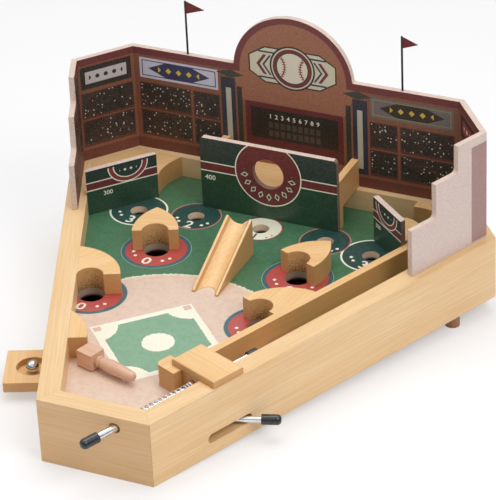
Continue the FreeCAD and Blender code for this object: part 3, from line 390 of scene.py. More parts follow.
def board_edge(made, board):
    """Bare pressed board with a speckle, pinkish on its cut edges."""
    grit = speckle(made, board)
    cloud = made.noise(board, 0.05, 2.0)
    paint = made.blend("DCC8BC", "C2A698", made.fade(grit, 0.4, 0.68))
    return made.blend(paint, "E9D8CD", made.fade(cloud, 0.4, 0.75) * 0.25), grit


def ink(made, board, paint, amount):
    """Print has a slight mottle, and is scuffed here and there."""
    mottle = made.noise(board, 0.55, 5.0, 0.7)
    scuff = made.fade(made.noise(board, 0.13, 6.0, 0.75), 0.66, 0.8)
    pale = (mottle - 0.42).maths("MAXIMUM", 0) * amount * 3
    dark = (0.5 - mottle).maths("MAXIMUM", 0) * amount * 4
    return made.layers(paint, (pale, "EFE6D6"), (dark, "15100D"), (scuff * 0.16, "D9CDBE")), mottle


def printed_board(made, bare, paint, printed, grit, mottle, rough, gloss, wear, relief):
    """Ends a finish with its print over bare board, smoother ink and softened edges."""
    made.colour(made.blend(bare, paint, printed))
    made.roughness(rough - printed * gloss + mottle * wear)
    bent, _ = made.soft_edges(0.5)
    made.bump(grit + mottle * relief, 0.05, bent)
    return made.material


# The playfield's print
SCORING = {"triple_left": (-130.9, 352.5), "triple_right": (110.9, 352.5), "double_left": (-73.9, 361.5),
           "double_right": (60.7, 361.5), "single": (-5.9, 361.5)}
OUTS = {"upper_left": (-82.7, 292.0), "upper_right": (62.7, 292.0), "lower_left": (-104.0, 199.0),
        "lower_right": (64.0, 204.7)}
PITCHER = (-11.0, 148.2)
MOUND = 15
DIRT_REACH = 114
DIRT_FRONT = 190
CHALK_WIDE = 2.5
DIAMOND = 69.0
BASE_LINE = 9
BASE_ROUND = 25
BASE_MARK = 5
BASES = [(-79.0, 148.0), (-11.3, 216.5), (57.0, 148.0), (-11.0, 80.0)]
# Each disc's bands from the rim inward, as radius and colour
DISC_BANDS = {
    "out": [(33.6, "8FB0A8"), (33, "2F5963"), (29.2, RED)],
    "triple": [(28.5, CREAM), (26.6, TEAL)],
    "double": [(24.8, "C79A92"), (24, "8E3A3C"), (23, TEAL)],
    "single": [(22, SEA_BLUE), (21.2, "B0504A"), (20, "EFECD4")],
}
PIP_RINGS = {"out": 21.5, "triple": 18.2, "double": 18.2, "single": 18.2}
PIP_STEP = 0.36
PIP_HALF = 2.1
SINGLE_PIPS_WITHIN = 18
PRINT_DEEP = 0.25
OUTFIELD_FRONT = 330


def ground(made, board, x, y, rag, tuft):
    """Grass, and the bare infield with its ragged chalky edge."""
    grass = made.blend(*GRASS, made.fade(tuft, 0.4, 0.62) * 0.6)
    sand = made.noise(board, 0.2, 5.0, 0.75)
    dirt = made.blend(*DIRT, made.fade(sand, 0.42, 0.66) * 0.6)
    reach = size(x - PITCHER[0], y - PITCHER[1]) + rag * 7
    bare = (reach < DIRT_REACH) | (y < DIRT_FRONT)
    return made.layers(grass, (reach < DIRT_REACH + CHALK_WIDE, CHALK), (bare, dirt))


def diamond(made, paint, x, y, rag, tuft):
    """The lawn inside its cream lines, round corners, base marks and the mound."""
    pitcher_x, pitcher_y = PITCHER
    square = abs(x - pitcher_x) + abs(y - pitcher_y) + rag * 3.4
    lawn = made.blend(*LAWN, made.fade(tuft, 0.4, 0.65) * 0.6)
    corners = either((size(x - base_x, y - base_y) + rag * 3) < BASE_ROUND for base_x, base_y in BASES)
    middles = [(base_x * 0.9 + pitcher_x * 0.1, base_y * 0.9 + pitcher_y * 0.1) for base_x, base_y in BASES]
    marks = either((abs(x - mark_x) + abs(y - mark_y)) < BASE_MARK for mark_x, mark_y in middles)
    mound = (size(x - pitcher_x, y - pitcher_y) + rag * 4) < MOUND
    inside = square < DIAMOND
    lawn_inside = (square < DIAMOND - BASE_LINE) & (1 - corners)
    return made.layers(paint, (inside, CREAM), (lawn_inside, lawn), (mound, CREAM),
                       (marks & inside, "E0B5A8"))


def disc(made, paint, x, y, kind, place):
    """A disc round a hole: its bands, and lozenges in an arc on both sides of its number."""
    x, y = x - place[0], y - place[1]
    ring = PIP_RINGS[kind]
    away = size(x, y)
    side = abs(made.angle(x, y * -1))
    pips = ((side.off_step(PIP_STEP) * ring + abs(away - ring)) < PIP_HALF) & side.between(0.5, 1.3)
    pip_ink = CREAM
    if kind == "single":
        pips = pips & (away < SINGLE_PIPS_WITHIN)
        pip_ink = SEA_BLUE
    bands = [(away < radius, code) for radius, code in DISC_BANDS[kind]]
    return made.layers(paint, *bands, (pips, pip_ink))


def playfield():
    """The printed field, and the bare walls of the holes bored in it, with painted light and painted shade
    on them.
    """
    made = Finish("printed playfield", Coat_Weight=0.35, Coat_Roughness=0.12)
    board = made.board()
    x, y, z = made.axes(board)
    rag = made.noise(board, 0.42, 3.0, 0.65) - 0.5
    tuft = made.noise(board, 0.12, 5.0, 0.7)
    paint = diamond(made, ground(made, board, x, y, rag, tuft), x, y, rag, tuft)
    for place in OUTS.values():
        paint = disc(made, paint, x, y, "out", place)
    for name, place in SCORING.items():
        paint = disc(made, paint, x, y, name.split("_")[0], place)
    paint, mottle = ink(made, board, paint, 0.07)
    # The far holes' walls are paler: partly their own cream, partly painted light
    hole_wall_with_painted_light = made.blend("BCA794", "FFE4C8", y > OUTFIELD_FRONT)
    hole_wall_with_painted_light = made.blend(hole_wall_with_painted_light, "A98A72", made.fade(speckle(made, board), 0.4, 0.75) * 0.3)
    # Deep down, each hole's wall turns near black, a painted shade
    hole_wall_with_painted_light = made.blend("2A1D15", hole_wall_with_painted_light, made.fade(z - FIELD, -8.5, -5.5))
    top = z > FIELD - PRINT_DEEP
    fine = made.noise(board, 1.6, 2.0) - 0.5
    made.colour(made.blend(hole_wall_with_painted_light, paint, top))
    made.roughness(0.62 - top * 0.3 + mottle * 0.1)
    made.bump(fine * 0.2 + mottle * 0.5, 0.05)
    return made.material


# The stadium's print
EDGE_BAND_WIDE = 7.5
ARCH_BAND_WIDE = 6.5
ARCH_GROUND_HALF = 51
DARK_FOOT = 11
LOWER_BAY = (81, 106)
UPPER_BAY = (111, 136)
BAY_FRAME = "5A2A20"
BAY_FRAME_WIDE = 1
BAY_SILL = 2.6
SIGN_OUT = 121
SIGN_HALF = 42
SIGN_LOW = 142
SIGN_HIGH = 164
SMALL_SIGN_ALONG = 37
SMALL_SIGN_UP = 153
EMBLEM_UP = 179
BOX_STEP = 6.2
STEPPED_TOP_FROM = 380
OUTSIDE_BAND = (SIDE_LONG - 24.3, SIDE_LONG - 1.3)
# How near a face or an edge its print ends
SKIN = 0.2
BARE_TOP = 0.3


def bays(made, board, along, up, boxes):
    """Framed dark openings full of pale specks. Boxes are along and up, low and high."""
    openings = []
    frames = []
    for from_along, to_along, from_up, to_up in boxes:
        openings.append(along.between(from_along, to_along) & up.between(from_up, to_up))
        frames.append(along.between(from_along - BAY_FRAME_WIDE, to_along + BAY_FRAME_WIDE)
                      & up.between(from_up - BAY_SILL, to_up + BAY_FRAME_WIDE))
    near, own = made.cells(board, 0.36)
    small, other = made.cells(board, 0.75)
    bright = (near < 0.27) & (own > 0.7)
    dim = (small < 0.3) & (other > 0.62)
    cloud = made.noise(board, 0.07, 2.0)
    dark = made.blend("1B1311", "33201A", made.fade(cloud, 0.4, 0.65))
    dark = made.layers(dark, (dim * 0.75, "74635A"), (bright * 0.95, "E2DCD2"))
    return [(either(frames), BAY_FRAME), (either(openings), dark)]


def brickwork(made, board, up):
    """Brown wall with a fine even speckle and a darker foot."""
    paint = made.blend("8A5640", "744330", made.fade(speckle(made, board), 0.42, 0.62))
    return made.blend(paint, "6B3328", up < RIM + DARK_FOOT)


def stadium_finish(name, design, frame_axes):
    """Front face printed, back face and cut edges plain."""
    made = Finish(name, Coat_Weight=0.12, Coat_Roughness=0.3)
    board = made.board()
    x, y, up = made.axes(board)
    along, inward = frame_axes(x, y)
    paint, faces = design(made, board, along, up)
    paint, mottle = ink(made, board, paint, 0.06)
    bare, grit = board_edge(made, board)
    printed = (inward > PANEL_BACK - SKIN) & faces
    return printed_board(made, bare, paint, printed, grit, mottle,
                         rough=0.72, gloss=0.26, wear=0.08, relief=0.4)


def plain_sign(along, up, ground_ink, border, shape, accent):
    """A sign board with a border, a pointed pane and a row of lozenges."""
    rise = (SIGN_LOW + SIGN_HIGH) / 2
    tall = (SIGN_HIGH - SIGN_LOW) / 2
    out, off_up = abs(along), abs(up - rise)
    box, inner, inmost = ((out < SIGN_HALF - inset) & (off_up < tall - inset) for inset in (0, 2.4, 3.4))
    pane = (out / (SIGN_HALF - 9) + off_up / (tall + 3)) < 1
    lozenge = ((along.off_step(11.0) + off_up) < 3.1) & (out < SIGN_HALF - 20)
    return [(box, ground_ink), (inner, border), (inmost, ground_ink), (pane & inmost, shape),
            (lozenge, accent)]


def emblem(across, rise):
    """A stitched ball on a wide plaque, with two chevrons each side and bars above and below."""
    out = abs(across)
    tall = abs(rise)
    ball = size(across, rise)
    slant = out * 0.62 + tall
    wing = out + tall * 0.7
    rim = (slant < 37) & (out < 45.4) & (tall < 19.4)
    plaque = (slant < 35.4) & (out < 44) & (tall < 18)
    bar = tall.near(13.6, 0.9) & (out < 35)
    outer_chevron = wing.near(35.5, 1.7) & (tall < 10.5)
    inner_chevron = wing.near(30, 1.1) & (tall < 10.5)
    off_seam = abs(size(out - 24, rise) - 16)
    stitch = (off_seam < 1.9) & ((rise / 2.6).maths("FRACT") < 0.35)
    rings = [(23.4, INK), (21.6, PAPER), (20.2, MAROON), (16.8, "23303A"), (15.8, "DAD5C2")]
    return [(rim, INK), (plaque, PAPER), (bar, NAVY), (outer_chevron, WINE), (inner_chevron, NAVY),
            *((ball < radius, code) for radius, code in rings),
            (((off_seam < 0.6) | stitch) & (ball < 15.5), "8A2A2A")]


def posts(out, up):
    """On each side a dark post, and a navy pillar with a pale strip and a pointed cap."""
    cap = (abs(out - 66) / 15 + abs(up - 162.5) / 4.5) < 1
    return [(out.between(54, 59) & up.between(78, 150), "22261C"),
            (out.between(61, 76) & up.between(78, 158), "20223A"),
            (out.between(65.5, 71) & up.between(84, 147), "B9B5A0"), (cap, "33372F")]


def scoreboard(across, out, up):
    """A dark panel in a maroon frame, with two rows of boxes below its numbers."""
    maroon_frame = (out < ARCH_GROUND_HALF) & up.between(84, 137)
    panel = (out < 45.5) & up.between(98.5, 131.5)
    box = (across.off_step(BOX_STEP) < 2.2) & (out < 28.5)
    rows = up.between(111, 117.5) | up.between(102, 108.5)
    return [(maroon_frame, "60191E"), (panel, "1C130E"), (box & rows, "4B4038")]


def rear_design(made, board, across, up):
    """The rear panel: arch, bays, two signs, posts, scoreboard and emblem."""
    out = abs(across)
    centre = size(across, up - ARCH_Z)
    above = up > PANEL_TOP - EDGE_BAND_WIDE
    edge_band = above & ((out > ARCH_ROUND - 1) | (centre > ARCH_ROUND - ARCH_BAND_WIDE))
    grit = made.noise(board, 0.8, 4.0, 0.7)
    arch = made.blend("A0694F", "8B563F", made.fade(grit, 0.4, 0.65))
    boxes = [(*column, *row) for row in (UPPER_BAY, LOWER_BAY) for column in ((79, 105.5), (110, 163))]
    paint = made.layers(
        brickwork(made, board, up),
        ((centre < ARCH_ROUND) | (out < ARCH_GROUND_HALF), arch),
        *bays(made, board, out, up, boxes),
        *plain_sign(across + SIGN_OUT, up, "C9C7D6", border="2B2F55", shape="2B2F55", accent="D9B93C"),
        *plain_sign(across - SIGN_OUT, up, "6F6468", border="8F8A50", shape="231D1C", accent="D7B040"),
        *posts(out, up),
        *scoreboard(across, out, up),
        *emblem(across, up - EMBLEM_UP),
        (edge_band, EDGE_BAND))
    return paint, (centre < ARCH_ROUND - BARE_TOP) | (up < PANEL_TOP - BARE_TOP)


def angled_design(ribbon_ink, pip_ink):
    """Two bays and a dark sign with a plain ribbon and a row of dots."""
    def design(made, board, along, up):
        off_along, off_up = along - SMALL_SIGN_ALONG, up - SMALL_SIGN_UP
        tall = abs(off_up)
        ribbon = (abs(off_along) < 22) & (tall < 6.5)
        tails = ((abs(abs(off_along) - 22) + tall) < 6.5) & (abs(off_along) < 21)
        dots = (size(off_along.off_step(9.0), off_up) < 2.2) & (abs(off_along) < 18)
        paint = made.layers(
            brickwork(made, board, up),
            *bays(made, board, along, up, [(10, 64, *UPPER_BAY), (10, 64, *LOWER_BAY)]),
            (along.between(10, 64) & up.between(141, 165), "251D1B"),
            (ribbon, ribbon_ink), (tails, ribbon_ink), (dots, pip_ink),
            (up > PANEL_TOP - EDGE_BAND_WIDE, EDGE_BAND))
        return paint, up < PANEL_TOP - BARE_TOP
    return design


def stepped_design(made, board, along, up):
    """Bays that climb the steps."""
    boxes = [(328, 350, 81, 104), (357, 380, *LOWER_BAY), (387, 412, *LOWER_BAY), (357, 380, 111, 138),
             (387, 412, *UPPER_BAY), (387, 412, 141, 165)]
    edge_band = (up > PANEL_TOP - EDGE_BAND_WIDE) & (along > STEPPED_TOP_FROM)
    paint = made.layers(brickwork(made, board, up), *bays(made, board, along, up, boxes),
                        (edge_band, EDGE_BAND))
    return paint, up < PANEL_TOP - BARE_TOP


def stepped_finish(name, side):
    """Printed inside, dusty paint outside with a darker band at the back."""
    made = Finish(name, Coat_Weight=0.08, Coat_Roughness=0.4)
    board = made.board()
    x, y, up = made.axes(board)
    along, inward = wall_axes(x, y, side)
    paint, faces = stepped_design(made, board, along, up)
    paint, mottle = ink(made, board, paint, 0.06)
    bare, grit = board_edge(made, board)
    dusty = made.blend("DCCBC2", "C9B2A8", made.fade(grit, 0.38, 0.7))
    dark = made.blend("AE8D87", "9A7872", made.fade(grit, 0.38, 0.7))
    band = along.between(*OUTSIDE_BAND) & up.between(66, 166)
    bare = made.blend(bare, made.blend(dusty, dark, band), inward < PANEL_INSET + SKIN)
    printed = (inward > PANEL_BACK - SKIN) & faces
    return printed_board(made, bare, paint, printed, grit, mottle,
                         rough=0.74, gloss=0.24, wear=0.06, relief=0.4)


# The outfield boards' print
WALL_GREEN = ("16412A", "19432C")
SCORE_CENTRE = -4.9
SCORE_FACE = 381.0
SCORE_TOP = 119.3
STRIPE = (83.3, 93.7)
RULE = 1.2
HOLE_UP = 91.7
HOLE_RING = 34.6
PIPS_ROUND = 9
PIP_WAY = 25
WALL_NUMBER_OUT = 61
WALL_NUMBER_UP = 77
FENCE_TOP = 90.3
FENCE_STRIPES = [(68, CREAM), (69.2, MAROON), (76.5, CREAM), (77.6, DARK_TEAL)]
FENCE_RAIL = 2.2
FENCE_NUMBER_UP = 62.5
# A fence's near corner, its heading, the way it runs from there, its length and its number's place
FENCES = {"left": dict(seat=(-123.9, 382.6), heading=49.1, runs=-1, long=60, number_along=-52),
          "right": dict(seat=(103.3, 379.3), heading=-39.8, runs=1, long=52, number_along=9)}


def wall_green(made, board):
    return made.blend(*WALL_GREEN, made.fade(made.noise(board, 0.1, 4.0), 0.4, 0.65) * 0.6)


def upright_board(made, board, paint, front, up, top):
    """Printed in front, brown on its bare upright faces as a painted shade, and pale along its top."""
    paint, mottle = ink(made, board, paint, 0.05)
    bare, grit = board_edge(made, board)
    below = up < top - SKIN
    # Bare faces below the top are painted brown, a painted shade
    bare = made.blend(bare, "6E4E3B", below * 0.85)
    return printed_board(made, bare, paint, front & below, grit, mottle,
                         rough=0.66, gloss=0.28, wear=0.08, relief=0.3)


def home_run_finish():
    """Dark panes over green, a maroon stripe, and a ring of lozenges round the hole."""
    made = Finish("printed home run wall", Coat_Weight=0.1, Coat_Roughness=0.2)
    board = made.board()
    x, y, up = made.axes(board)
    across, rise = x - SCORE_CENTRE, up - HOLE_UP
    away = size(across, rise)
    turn = (made.angle(rise, across) * (PIPS_ROUND / math.pi)).maths("FRACT")
    off_pip = abs(turn - 0.5) * away * 0.52 + abs(away - PIP_WAY)
    lower = rise < 2
    paint = made.layers(
        wall_green(made, board), (up > STRIPE[1], DARK_TEAL), (up.between(*STRIPE), CREAM),
        (up.between(STRIPE[0] + RULE, STRIPE[1] - RULE), MAROON), (away < HOLE_RING, CREAM),
        (away < HOLE_RING - RULE, MAROON),
        ((off_pip < 4.2) & lower, "E6DFC6"), ((off_pip < 2.6) & lower, "1F4A34"))
    return upright_board(made, board, paint, y < SCORE_FACE + SKIN, up, SCORE_TOP)


def fence_finish(name, seat, heading, runs, long):
    """A fence with a swag of bunting under a dark rail."""
    made = Finish(name, Coat_Weight=0.1, Coat_Roughness=0.2)
    board = made.board()
    x, y, up = made.axes(board)
    turn = math.radians(heading)
    x, y = x - seat[0], y - seat[1]
    off_middle = (x * math.cos(turn) + y * math.sin(turn)) * runs - long / 2
    inward = y * math.cos(turn) - x * math.sin(turn)
    swag = size(off_middle, (up - FENCE_TOP + 3) * 1.15)
    hang = up < FENCE_TOP - FENCE_RAIL
    swags = [((swag < radius) & hang, code) for radius, code in
             ((21, CREAM), (19.8, "8C2F33"), (15.6, CREAM), (14.4, DARK_TEAL))]
    step = 6.4
    pips = (((off_middle + step / 2).off_step(step) + abs(up - 82.5)) < 1.6) & (abs(off_middle) < 9)
    stripes = [(up > low, code) for low, code in FENCE_STRIPES]
    paint = made.layers(wall_green(made, board), *stripes, *swags, (pips, CREAM), (1 - hang, "0F2423"))
    return upright_board(made, board, paint, inward < SKIN, up, FENCE_TOP)


# Hardboard and pennants
def hardboard():
    made = Finish("pressed hardboard")
    board = made.board()
    fibre = made.noise(made.mapped(board, Scale=(1.2, 0.5, 1.0)), 1.0, 6.0, 0.7)
    cloud = made.noise(board, 0.03, 3.0)
    paint = made.blend("8A6443", "6B4A2F", made.fade(fibre, 0.35, 0.65))
    made.colour(made.blend(paint, "9B7552", made.fade(cloud, 0.4, 0.7) * 0.5))
    made.roughness(fibre * 0.2 + 0.55)
    made.bump(fibre, 0.12)
    return made.material


def pennant_cloth():
    made = Finish("printed pennant")
    weave = made.noise(made.board(), 3.0, 2.0)
    made.colour(made.blend("7A2B25", "5D1F1C", made.fade(weave, 0.4, 0.6)))
    made.roughness(weave * 0.2 + 0.5)
    made.bump(weave, 0.05)
    return made.material


# Finishes of the pieces that the frame holds
CHROME = steel("bright plated rod", "F2F3F5", "CDD0D6", polish=0.08, dulling=0.04)
PLAIN_STEEL = steel("plain steel", "B4B4B2", "86868A", polish=0.3, dulling=0.2)
DARK_STEEL = steel("flagpole steel", "4A4A4C", "2E2E30", polish=0.3, dulling=0.15)
WIRE = steel("drawn spring wire", "F0F1F3", "C9CBD0", polish=0.26, dulling=0.1)
BALL = steel("polished ball", "E2E4E8", "A6AAB2", polish=0.05, dulling=0.05)
RUBBER = rubber()
PENNANT = pennant_cloth()

# The headings of the grain, in degrees from the board's X
SIDE = 90 - FLARE_DEGREES
WALLS = {"front_wall": 0, "right_wall": SIDE, "left_wall": 180 - SIDE, "rear_wall": 0,
         "right_return_wall": 180 - RETURN_DEGREES, "left_return_wall": RETURN_DEGREES}
TRIMS = {
    "lane_divider": SIDE, "launcher_guide_block": SIDE, "plunger_guide_block": SIDE,
    "launcher_cap_plate": SIDE - 90, "left_guide_block": 180 - SIDE, "ramp": 90, "home_run_shelf": 0,
    "home_run_side_left": 90, "home_run_side_right": 90, "home_run_props": 0, "left_corner_block": 49,
    "right_corner_block": -39, "fence_backing_block": -20, "ball_tray": 180 - SIDE,
    "tray_runner_rear": SIDE - 90, "tray_runner_front": SIDE - 90,
}
UPRIGHT_TRIMS = ("home_run_props",)
METALS = {
    "plunger_rod": CHROME, "plunger_collar": CHROME, "lever_rod": CHROME, "bat_shaft": CHROME,
    "crank_pin": CHROME, "lever_pivot_pin": CHROME, "lever_hub": PLAIN_STEEL, "lever_fork": PLAIN_STEEL,
    "bat_crank": PLAIN_STEEL, "base_screws": PLAIN_STEEL, "flagpole_left": DARK_STEEL,
    "flagpole_right": DARK_STEEL, "steel_ball": BALL,
}


def wooden_looks():
    """Each wooden piece is cut from its own place in the log, so no two have the same grain."""
    looks = {}
    for number, (node, heading) in enumerate(WALLS.items()):
        looks[node] = wood(f"pine of {node}", PINE, heading, pith=(70.0 + 23 * number, 60.0 + 9 * number))
    for number, (node, heading) in enumerate(TRIMS.items()):
        pith = (31.0 + 7 * number, 44.0 + 5 * number)
        looks[node] = wood(f"trim of {node}", TRIM, heading, node in UPRIGHT_TRIMS, ring_gap=2.8, pith=pith)
    for number, (side, place) in enumerate(OUTS.items()):
        pith = (40.0 + 9 * number, 52.0)
        looks[f"out_block_{side}"] = wood(f"trim of out block {side}", TRIM, 10 + 24 * number,
                                          ring_gap=2.6, pith=pith, notch=place)
    for side in ("left", "right"):
        looks[f"rear_foot_{side}"] = wood(f"foot {side}", WALNUT, upright=True)
    looks["bat"] = wood("turned bat", BEECH, -17, ring_gap=1.7, pith=(22.0, -20.0))
    return looks


def printed_looks():
    rear = stadium_finish("printed rear panel", rear_design, lambda x, y: (x, REAR_Y - y))
    looks = {"playfield": playfield(), "home_run_wall": home_run_finish(), "stadium_rear_panel": rear}
    sides = {"left": (-1, angled_design("C7BFC0", "2A2120")),
             "right": (1, angled_design("8D2F35", "E4DCCB"))}
    for side, (sign, design) in sides.items():
        fence = FENCES[side]
        looks[f"{side}_fence"] = fence_finish(f"printed {side} fence", fence["seat"], fence["heading"],
                                              fence["runs"], fence["long"])
        looks[f"stadium_{side}_angled_panel"] = stadium_finish(
            f"printed {side} angled panel", design, functools.partial(return_axes, side=sign))
        looks[f"stadium_{side}_stepped_panel"] = stepped_finish(f"printed {side} stepped panel", sign)
        looks[f"pennant_{side}"] = PENNANT
    return looks


def finish_nodes():
    looks = {**wooden_looks(), **printed_looks(), **METALS, "base_panel": hardboard()}
    for node in ("plunger_knob", "plunger_tip", "lever_knob"):
        looks[node] = RUBBER
    for node, material in looks.items():
        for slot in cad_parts[node].material_slots:
            slot.material = material


finish_nodes()


# Printed numbers
PRINT_THICK = 0.03
DIGIT_FILL = 0.7
DIGIT_BOLD = 0.022
# Each disc's digit, its height, how far it is in front of the hole, and how wide it is drawn
DISC_NUMBERS = {"triple": ("3", 12.5, 17.3, 1.0), "double": ("2", 12, 16.1, 1.0),
                "single": ("1", 11, 14.8, 1.0), "out": ("0", 11, 21, 1.2)}
INNINGS = 9
INNING_TALL = 4.6
INNING_UP = 123.6
WALL_NUMBER_TALL = 5.2
FENCE_NUMBER_TALL = 4.6


def made_object(name, mesh, material, body="case"):
    mesh.materials.clear()
    mesh.materials.append(material)
    piece = bpy.data.objects.new(name, mesh)
    bpy.context.scene.collection.objects.link(piece)
    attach(piece, body)
    return piece


def digits(text, tall, place, wide=1.0):
    """Printed digits as one thin mesh, with their middle at the place."""
    curve = bpy.data.curves.new("digits", "FONT")
    curve.body = text
    curve.size = tall / DIGIT_FILL
    curve.extrude = PRINT_THICK
    curve.offset = tall * DIGIT_BOLD
    curve.align_x = "CENTER"
    curve.resolution_u = 3
    holder = bpy.data.objects.new("digits", curve)
    bpy.context.scene.collection.objects.link(holder)
    bpy.context.view_layer.update()
    mesh = bpy.data.meshes.new_from_object(holder)
    bpy.data.objects.remove(holder)
    mesh.transform(Matrix.Translation((0, -tall / 2, 0)))
    mesh.transform(Matrix.Diagonal((wide, 1, 1, 1)))
    mesh.transform(BOARD @ place)
    return mesh


def joined(meshes):
    whole = bmesh.new()
    for mesh in meshes:
        whole.from_mesh(mesh)
    merged = bpy.data.meshes.new("printed digits")
    whole.to_mesh(merged)
    whole.free()
    return merged


def print_paint(name, code):
    made = Finish(name, Coat_Weight=0.2, Coat_Roughness=0.2)
    paint, mottle = ink(made, made.board(), code, 0.12)
    made.colour(paint)
    made.roughness(mottle * 0.15 + 0.35)
    made.bump(mottle, 0.02)
    return made.material


def disc_number(kind, place):
    digit, tall, before, wide = DISC_NUMBERS[kind]
    return digits(digit, tall, Matrix.Translation((place[0], place[1] - before, FIELD + PRINT_THICK)), wide)


def standing(x, y, z, heading=0.0):
    turn = Matrix.Rotation(math.radians(heading), 4, "Z") @ Matrix.Rotation(math.pi / 2, 4, "X")
    return Matrix.Translation((x, y, z)) @ turn


def fence_number(seat, heading, along):
    turn = math.radians(heading)
    x = seat[0] + along * math.cos(turn) + PRINT_THICK * math.sin(turn)
    y = seat[1] + along * math.sin(turn) - PRINT_THICK * math.cos(turn)
    return digits("300", FENCE_NUMBER_TALL, standing(x, y, FENCE_NUMBER_UP, heading))


def printed_numbers():
    pale = print_paint("pale ink", "F2EEDC")
    dark = print_paint("dark ink", SEA_BLUE)
    on_field = [disc_number(name.split("_")[0], place) for name, place in SCORING.items()
                if name != "single"]
    on_field += [disc_number("out", place) for place in OUTS.values()]
    made_object("field_numbers", joined(on_field), pale)
    made_object("single_number", disc_number("single", SCORING["single"]), dark)
    face = REAR_Y - PANEL_BACK - PRINT_THICK
    middle = (INNINGS + 1) / 2
    row = [digits(str(number), INNING_TALL, standing(BOX_STEP * (number - middle), face, INNING_UP))
           for number in range(1, INNINGS + 1)]
    wall_number = standing(SCORE_CENTRE - WALL_NUMBER_OUT, SCORE_FACE - PRINT_THICK, WALL_NUMBER_UP)
    distance = [digits("400", WALL_NUMBER_TALL, wall_number)]
    distance += [fence_number(fence["seat"], fence["heading"], fence["number_along"])
                 for fence in FENCES.values()]
    made_object("scoreboard_numbers", joined(row), pale)
    made_object("distance_number", joined(distance), pale)


printed_numbers()


# The plunger's spring
SPRING_WIRE = 1.2
SPRING_ROUND = 3.9
WIRE_SIDES = 12
TURN_STEPS = 28
CLOSE_TURNS = 1.5
OPEN_TURNS = 12
ROD_PLACE = Matrix.Translation((20, 0, 53)) @ Matrix.Rotation(math.pi / 2 - FLARE, 4, "Z")


def coil(start, end):
    """One round wire wound along X, closed at both ends, in millimetres."""
    close_pitch = SPRING_WIRE * 1.05
    open_pitch = (end - start - 2 * CLOSE_TURNS * close_pitch) / OPEN_TURNS
    mesh = bmesh.new()
    ring = bmesh.ops.create_circle(mesh, segments=WIRE_SIDES, radius=SPRING_WIRE / 2)
    place = Matrix.Translation((start, 0, SPRING_ROUND)) @ Matrix.Rotation(math.pi / 2, 4, "X")
    bmesh.ops.transform(mesh, matrix=place, verts=ring["verts"])
    rim = ring["verts"] + list({edge for vertex in ring["verts"] for edge in vertex.link_edges})
    for turns, pitch in ((CLOSE_TURNS, close_pitch), (OPEN_TURNS, open_pitch), (CLOSE_TURNS, close_pitch)):
        steps = round(turns * TURN_STEPS)
        swept = bmesh.ops.spin(mesh, geom=rim, cent=(0, 0, 0), axis=(1, 0, 0),
                               dvec=(pitch * turns / steps, 0, 0), angle=2 * math.pi * turns, steps=steps)
        rim = swept["geom_last"]
    bmesh.ops.remove_doubles(mesh, verts=mesh.verts, dist=0.001)
    bmesh.ops.holes_fill(mesh, edges=mesh.edges, sides=WIRE_SIDES)
    bmesh.ops.recalc_face_normals(mesh, faces=mesh.faces)
    return mesh


def coil_spring():
    """The coil in the place of the frame's own spring."""
    lead = BOARD @ ROD_PLACE
    inverse = lead.inverted()
    reach = [(inverse @ vertex.co).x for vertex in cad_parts["plunger_spring"].data.vertices]
    mesh = coil(min(reach) + SPRING_WIRE / 2, max(reach) - SPRING_WIRE / 2)
    bmesh.ops.transform(mesh, matrix=lead, verts=mesh.verts)
    data = bpy.data.meshes.new("coil")
    mesh.to_mesh(data)
    mesh.free()
    for face in data.polygons:
        face.use_smooth = True
    piece = made_object("coil_spring", data, WIRE)
    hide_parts("plunger_spring")
    along = lead.to_3x3() @ Vector((1, 0, 0))
    anchor = lead @ Vector((min(reach), 0, 0))
    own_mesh(piece)


coil_spring()


# Floor, light and camera
WHITE = "FFFFFF"
FLOOR_HALF = 6
FLOOR_GLOW = 0.4
ROOM_LIGHT = 0.42
ROOM_SEEN = 1.0
# What polished metal mirrors: dark near the horizon and bright overhead
MIRRORED = {"From Min": 0.15, "From Max": 0.6, "To Min": 0.08, "To Max": 1.3}
# Lamps: place in metres, width and power
LAMPS = {"key": ((1.4, -0.4, 1.6), 1.0, 15), "fill": ((-1.3, -0.4, 1.3), 1.2, 3.5),
         "top": ((-0.1, 0.5, 1.9), 1.4, 18)}
LAMP_AIM = Vector((0, 0.22, 0.05))
# The photograph's view: the eye and what it looks at on the board, the roll, and the focal length
EYE = Vector((980.5, -1713.0, 1405.0))
LOOKED_AT = Vector((-1.149, 321.714, FIELD))
ROLL = math.radians(-2.7671)
FOCAL_PIXELS = 2803.76
PHOTO_WIDE = 496


def pale_floor():
    """Pale paper, which glows a little where it is seen, so that it comes out white."""
    mesh = bmesh.new()
    bmesh.ops.create_grid(mesh, x_segments=1, y_segments=1, size=FLOOR_HALF)
    data = bpy.data.meshes.new("floor")
    mesh.to_mesh(data)
    mesh.free()
    floor = bpy.data.objects.new("floor", data)
    bpy.context.scene.collection.objects.link(floor)
    made = Finish("pale paper", Roughness=0.9, Specular_IOR_Level=0.1)
    made.colour("FAFAFC")
    glow = made.node("Emission", {}, {"Color": WHITE, "Strength": 1.0})
    rays = made.node("LightPath")
    kinds = ("Camera", "Glossy", "Transmission")
    share = either(Level(made, rays.outputs[f"Is {kind} Ray"]) for kind in kinds) * FLOOR_GLOW
    mixed = made.node("MixShader", {}, {0: share, 1: made.shader.outputs[0], 2: glow.outputs[0]})
    made.feed(made.tree.nodes["Material Output"].inputs[0], mixed.outputs[0])
    data.materials.append(made.material)


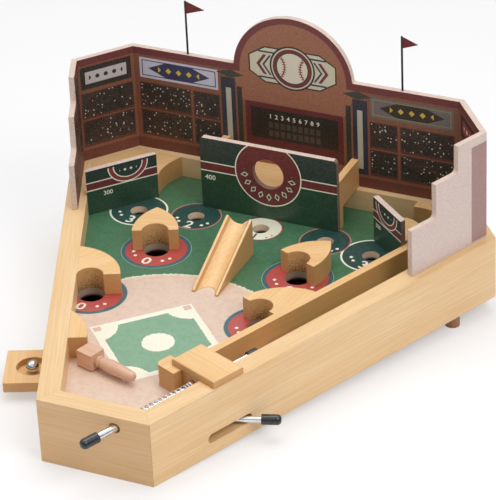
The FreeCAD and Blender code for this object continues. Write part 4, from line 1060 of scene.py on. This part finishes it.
def room():
    """Even light, a white background, and a graded room for polished metal to mirror."""
    world = bpy.data.worlds.new("studio")
    bpy.context.scene.world = world
    world.use_nodes = True
    tree = world.node_tree
    lit = tree.nodes["Background"]
    seen = tree.nodes.new("ShaderNodeBackground")
    mirrored = tree.nodes.new("ShaderNodeBackground")
    for background, strength in ((lit, ROOM_LIGHT), (seen, ROOM_SEEN)):
        background.inputs[0].default_value = tint(WHITE)
        background.inputs[1].default_value = strength
    height = tree.nodes.new("ShaderNodeSeparateXYZ")
    tree.links.new(tree.nodes.new("ShaderNodeTexCoord").outputs["Generated"], height.inputs[0])
    graded = tree.nodes.new("ShaderNodeMapRange")
    for socket, value in MIRRORED.items():
        graded.inputs[socket].default_value = value
    tree.links.new(height.outputs[2], graded.inputs["Value"])
    tree.links.new(graded.outputs[0], mirrored.inputs[1])
    rays = tree.nodes.new("ShaderNodeLightPath")
    under = lit.outputs[0]
    for ray, light in (("Is Glossy Ray", mirrored), ("Is Camera Ray", seen)):
        mix = tree.nodes.new("ShaderNodeMixShader")
        tree.links.new(rays.outputs[ray], mix.inputs[0])
        tree.links.new(under, mix.inputs[1])
        tree.links.new(light.outputs[0], mix.inputs[2])
        under = mix.outputs[0]
    tree.links.new(under, tree.nodes["World Output"].inputs[0])


def lamps():
    for name, (place, wide, power) in LAMPS.items():
        lamp = bpy.data.lights.new(name, "AREA")
        lamp.size = wide
        lamp.energy = power
        holder = bpy.data.objects.new(name, lamp)
        holder.location = place
        holder.rotation_euler = (LAMP_AIM - Vector(place)).to_track_quat("-Z", "Y").to_euler()
        bpy.context.scene.collection.objects.link(holder)


def camera():
    """The photograph's own view, worked out from the object's corners."""
    data = bpy.data.cameras.new("camera")
    data.sensor_fit = "HORIZONTAL"
    data.sensor_width = 36
    data.lens = FOCAL_PIXELS / PHOTO_WIDE * data.sensor_width
    data.clip_end = 20
    holder = bpy.data.objects.new("camera", data)
    bpy.context.scene.collection.objects.link(holder)
    turn = (LOOKED_AT - EYE).to_track_quat("-Z", "Y").to_matrix() @ Matrix.Rotation(ROLL, 3, "Z")
    holder.matrix_world = Matrix.Translation(BOARD @ EYE) @ (LEAN.to_3x3() @ turn).to_4x4()
    bpy.context.scene.camera = holder


pale_floor()
room()
lamps()
camera()
bpy.context.scene.view_settings.view_transform = "Standard"
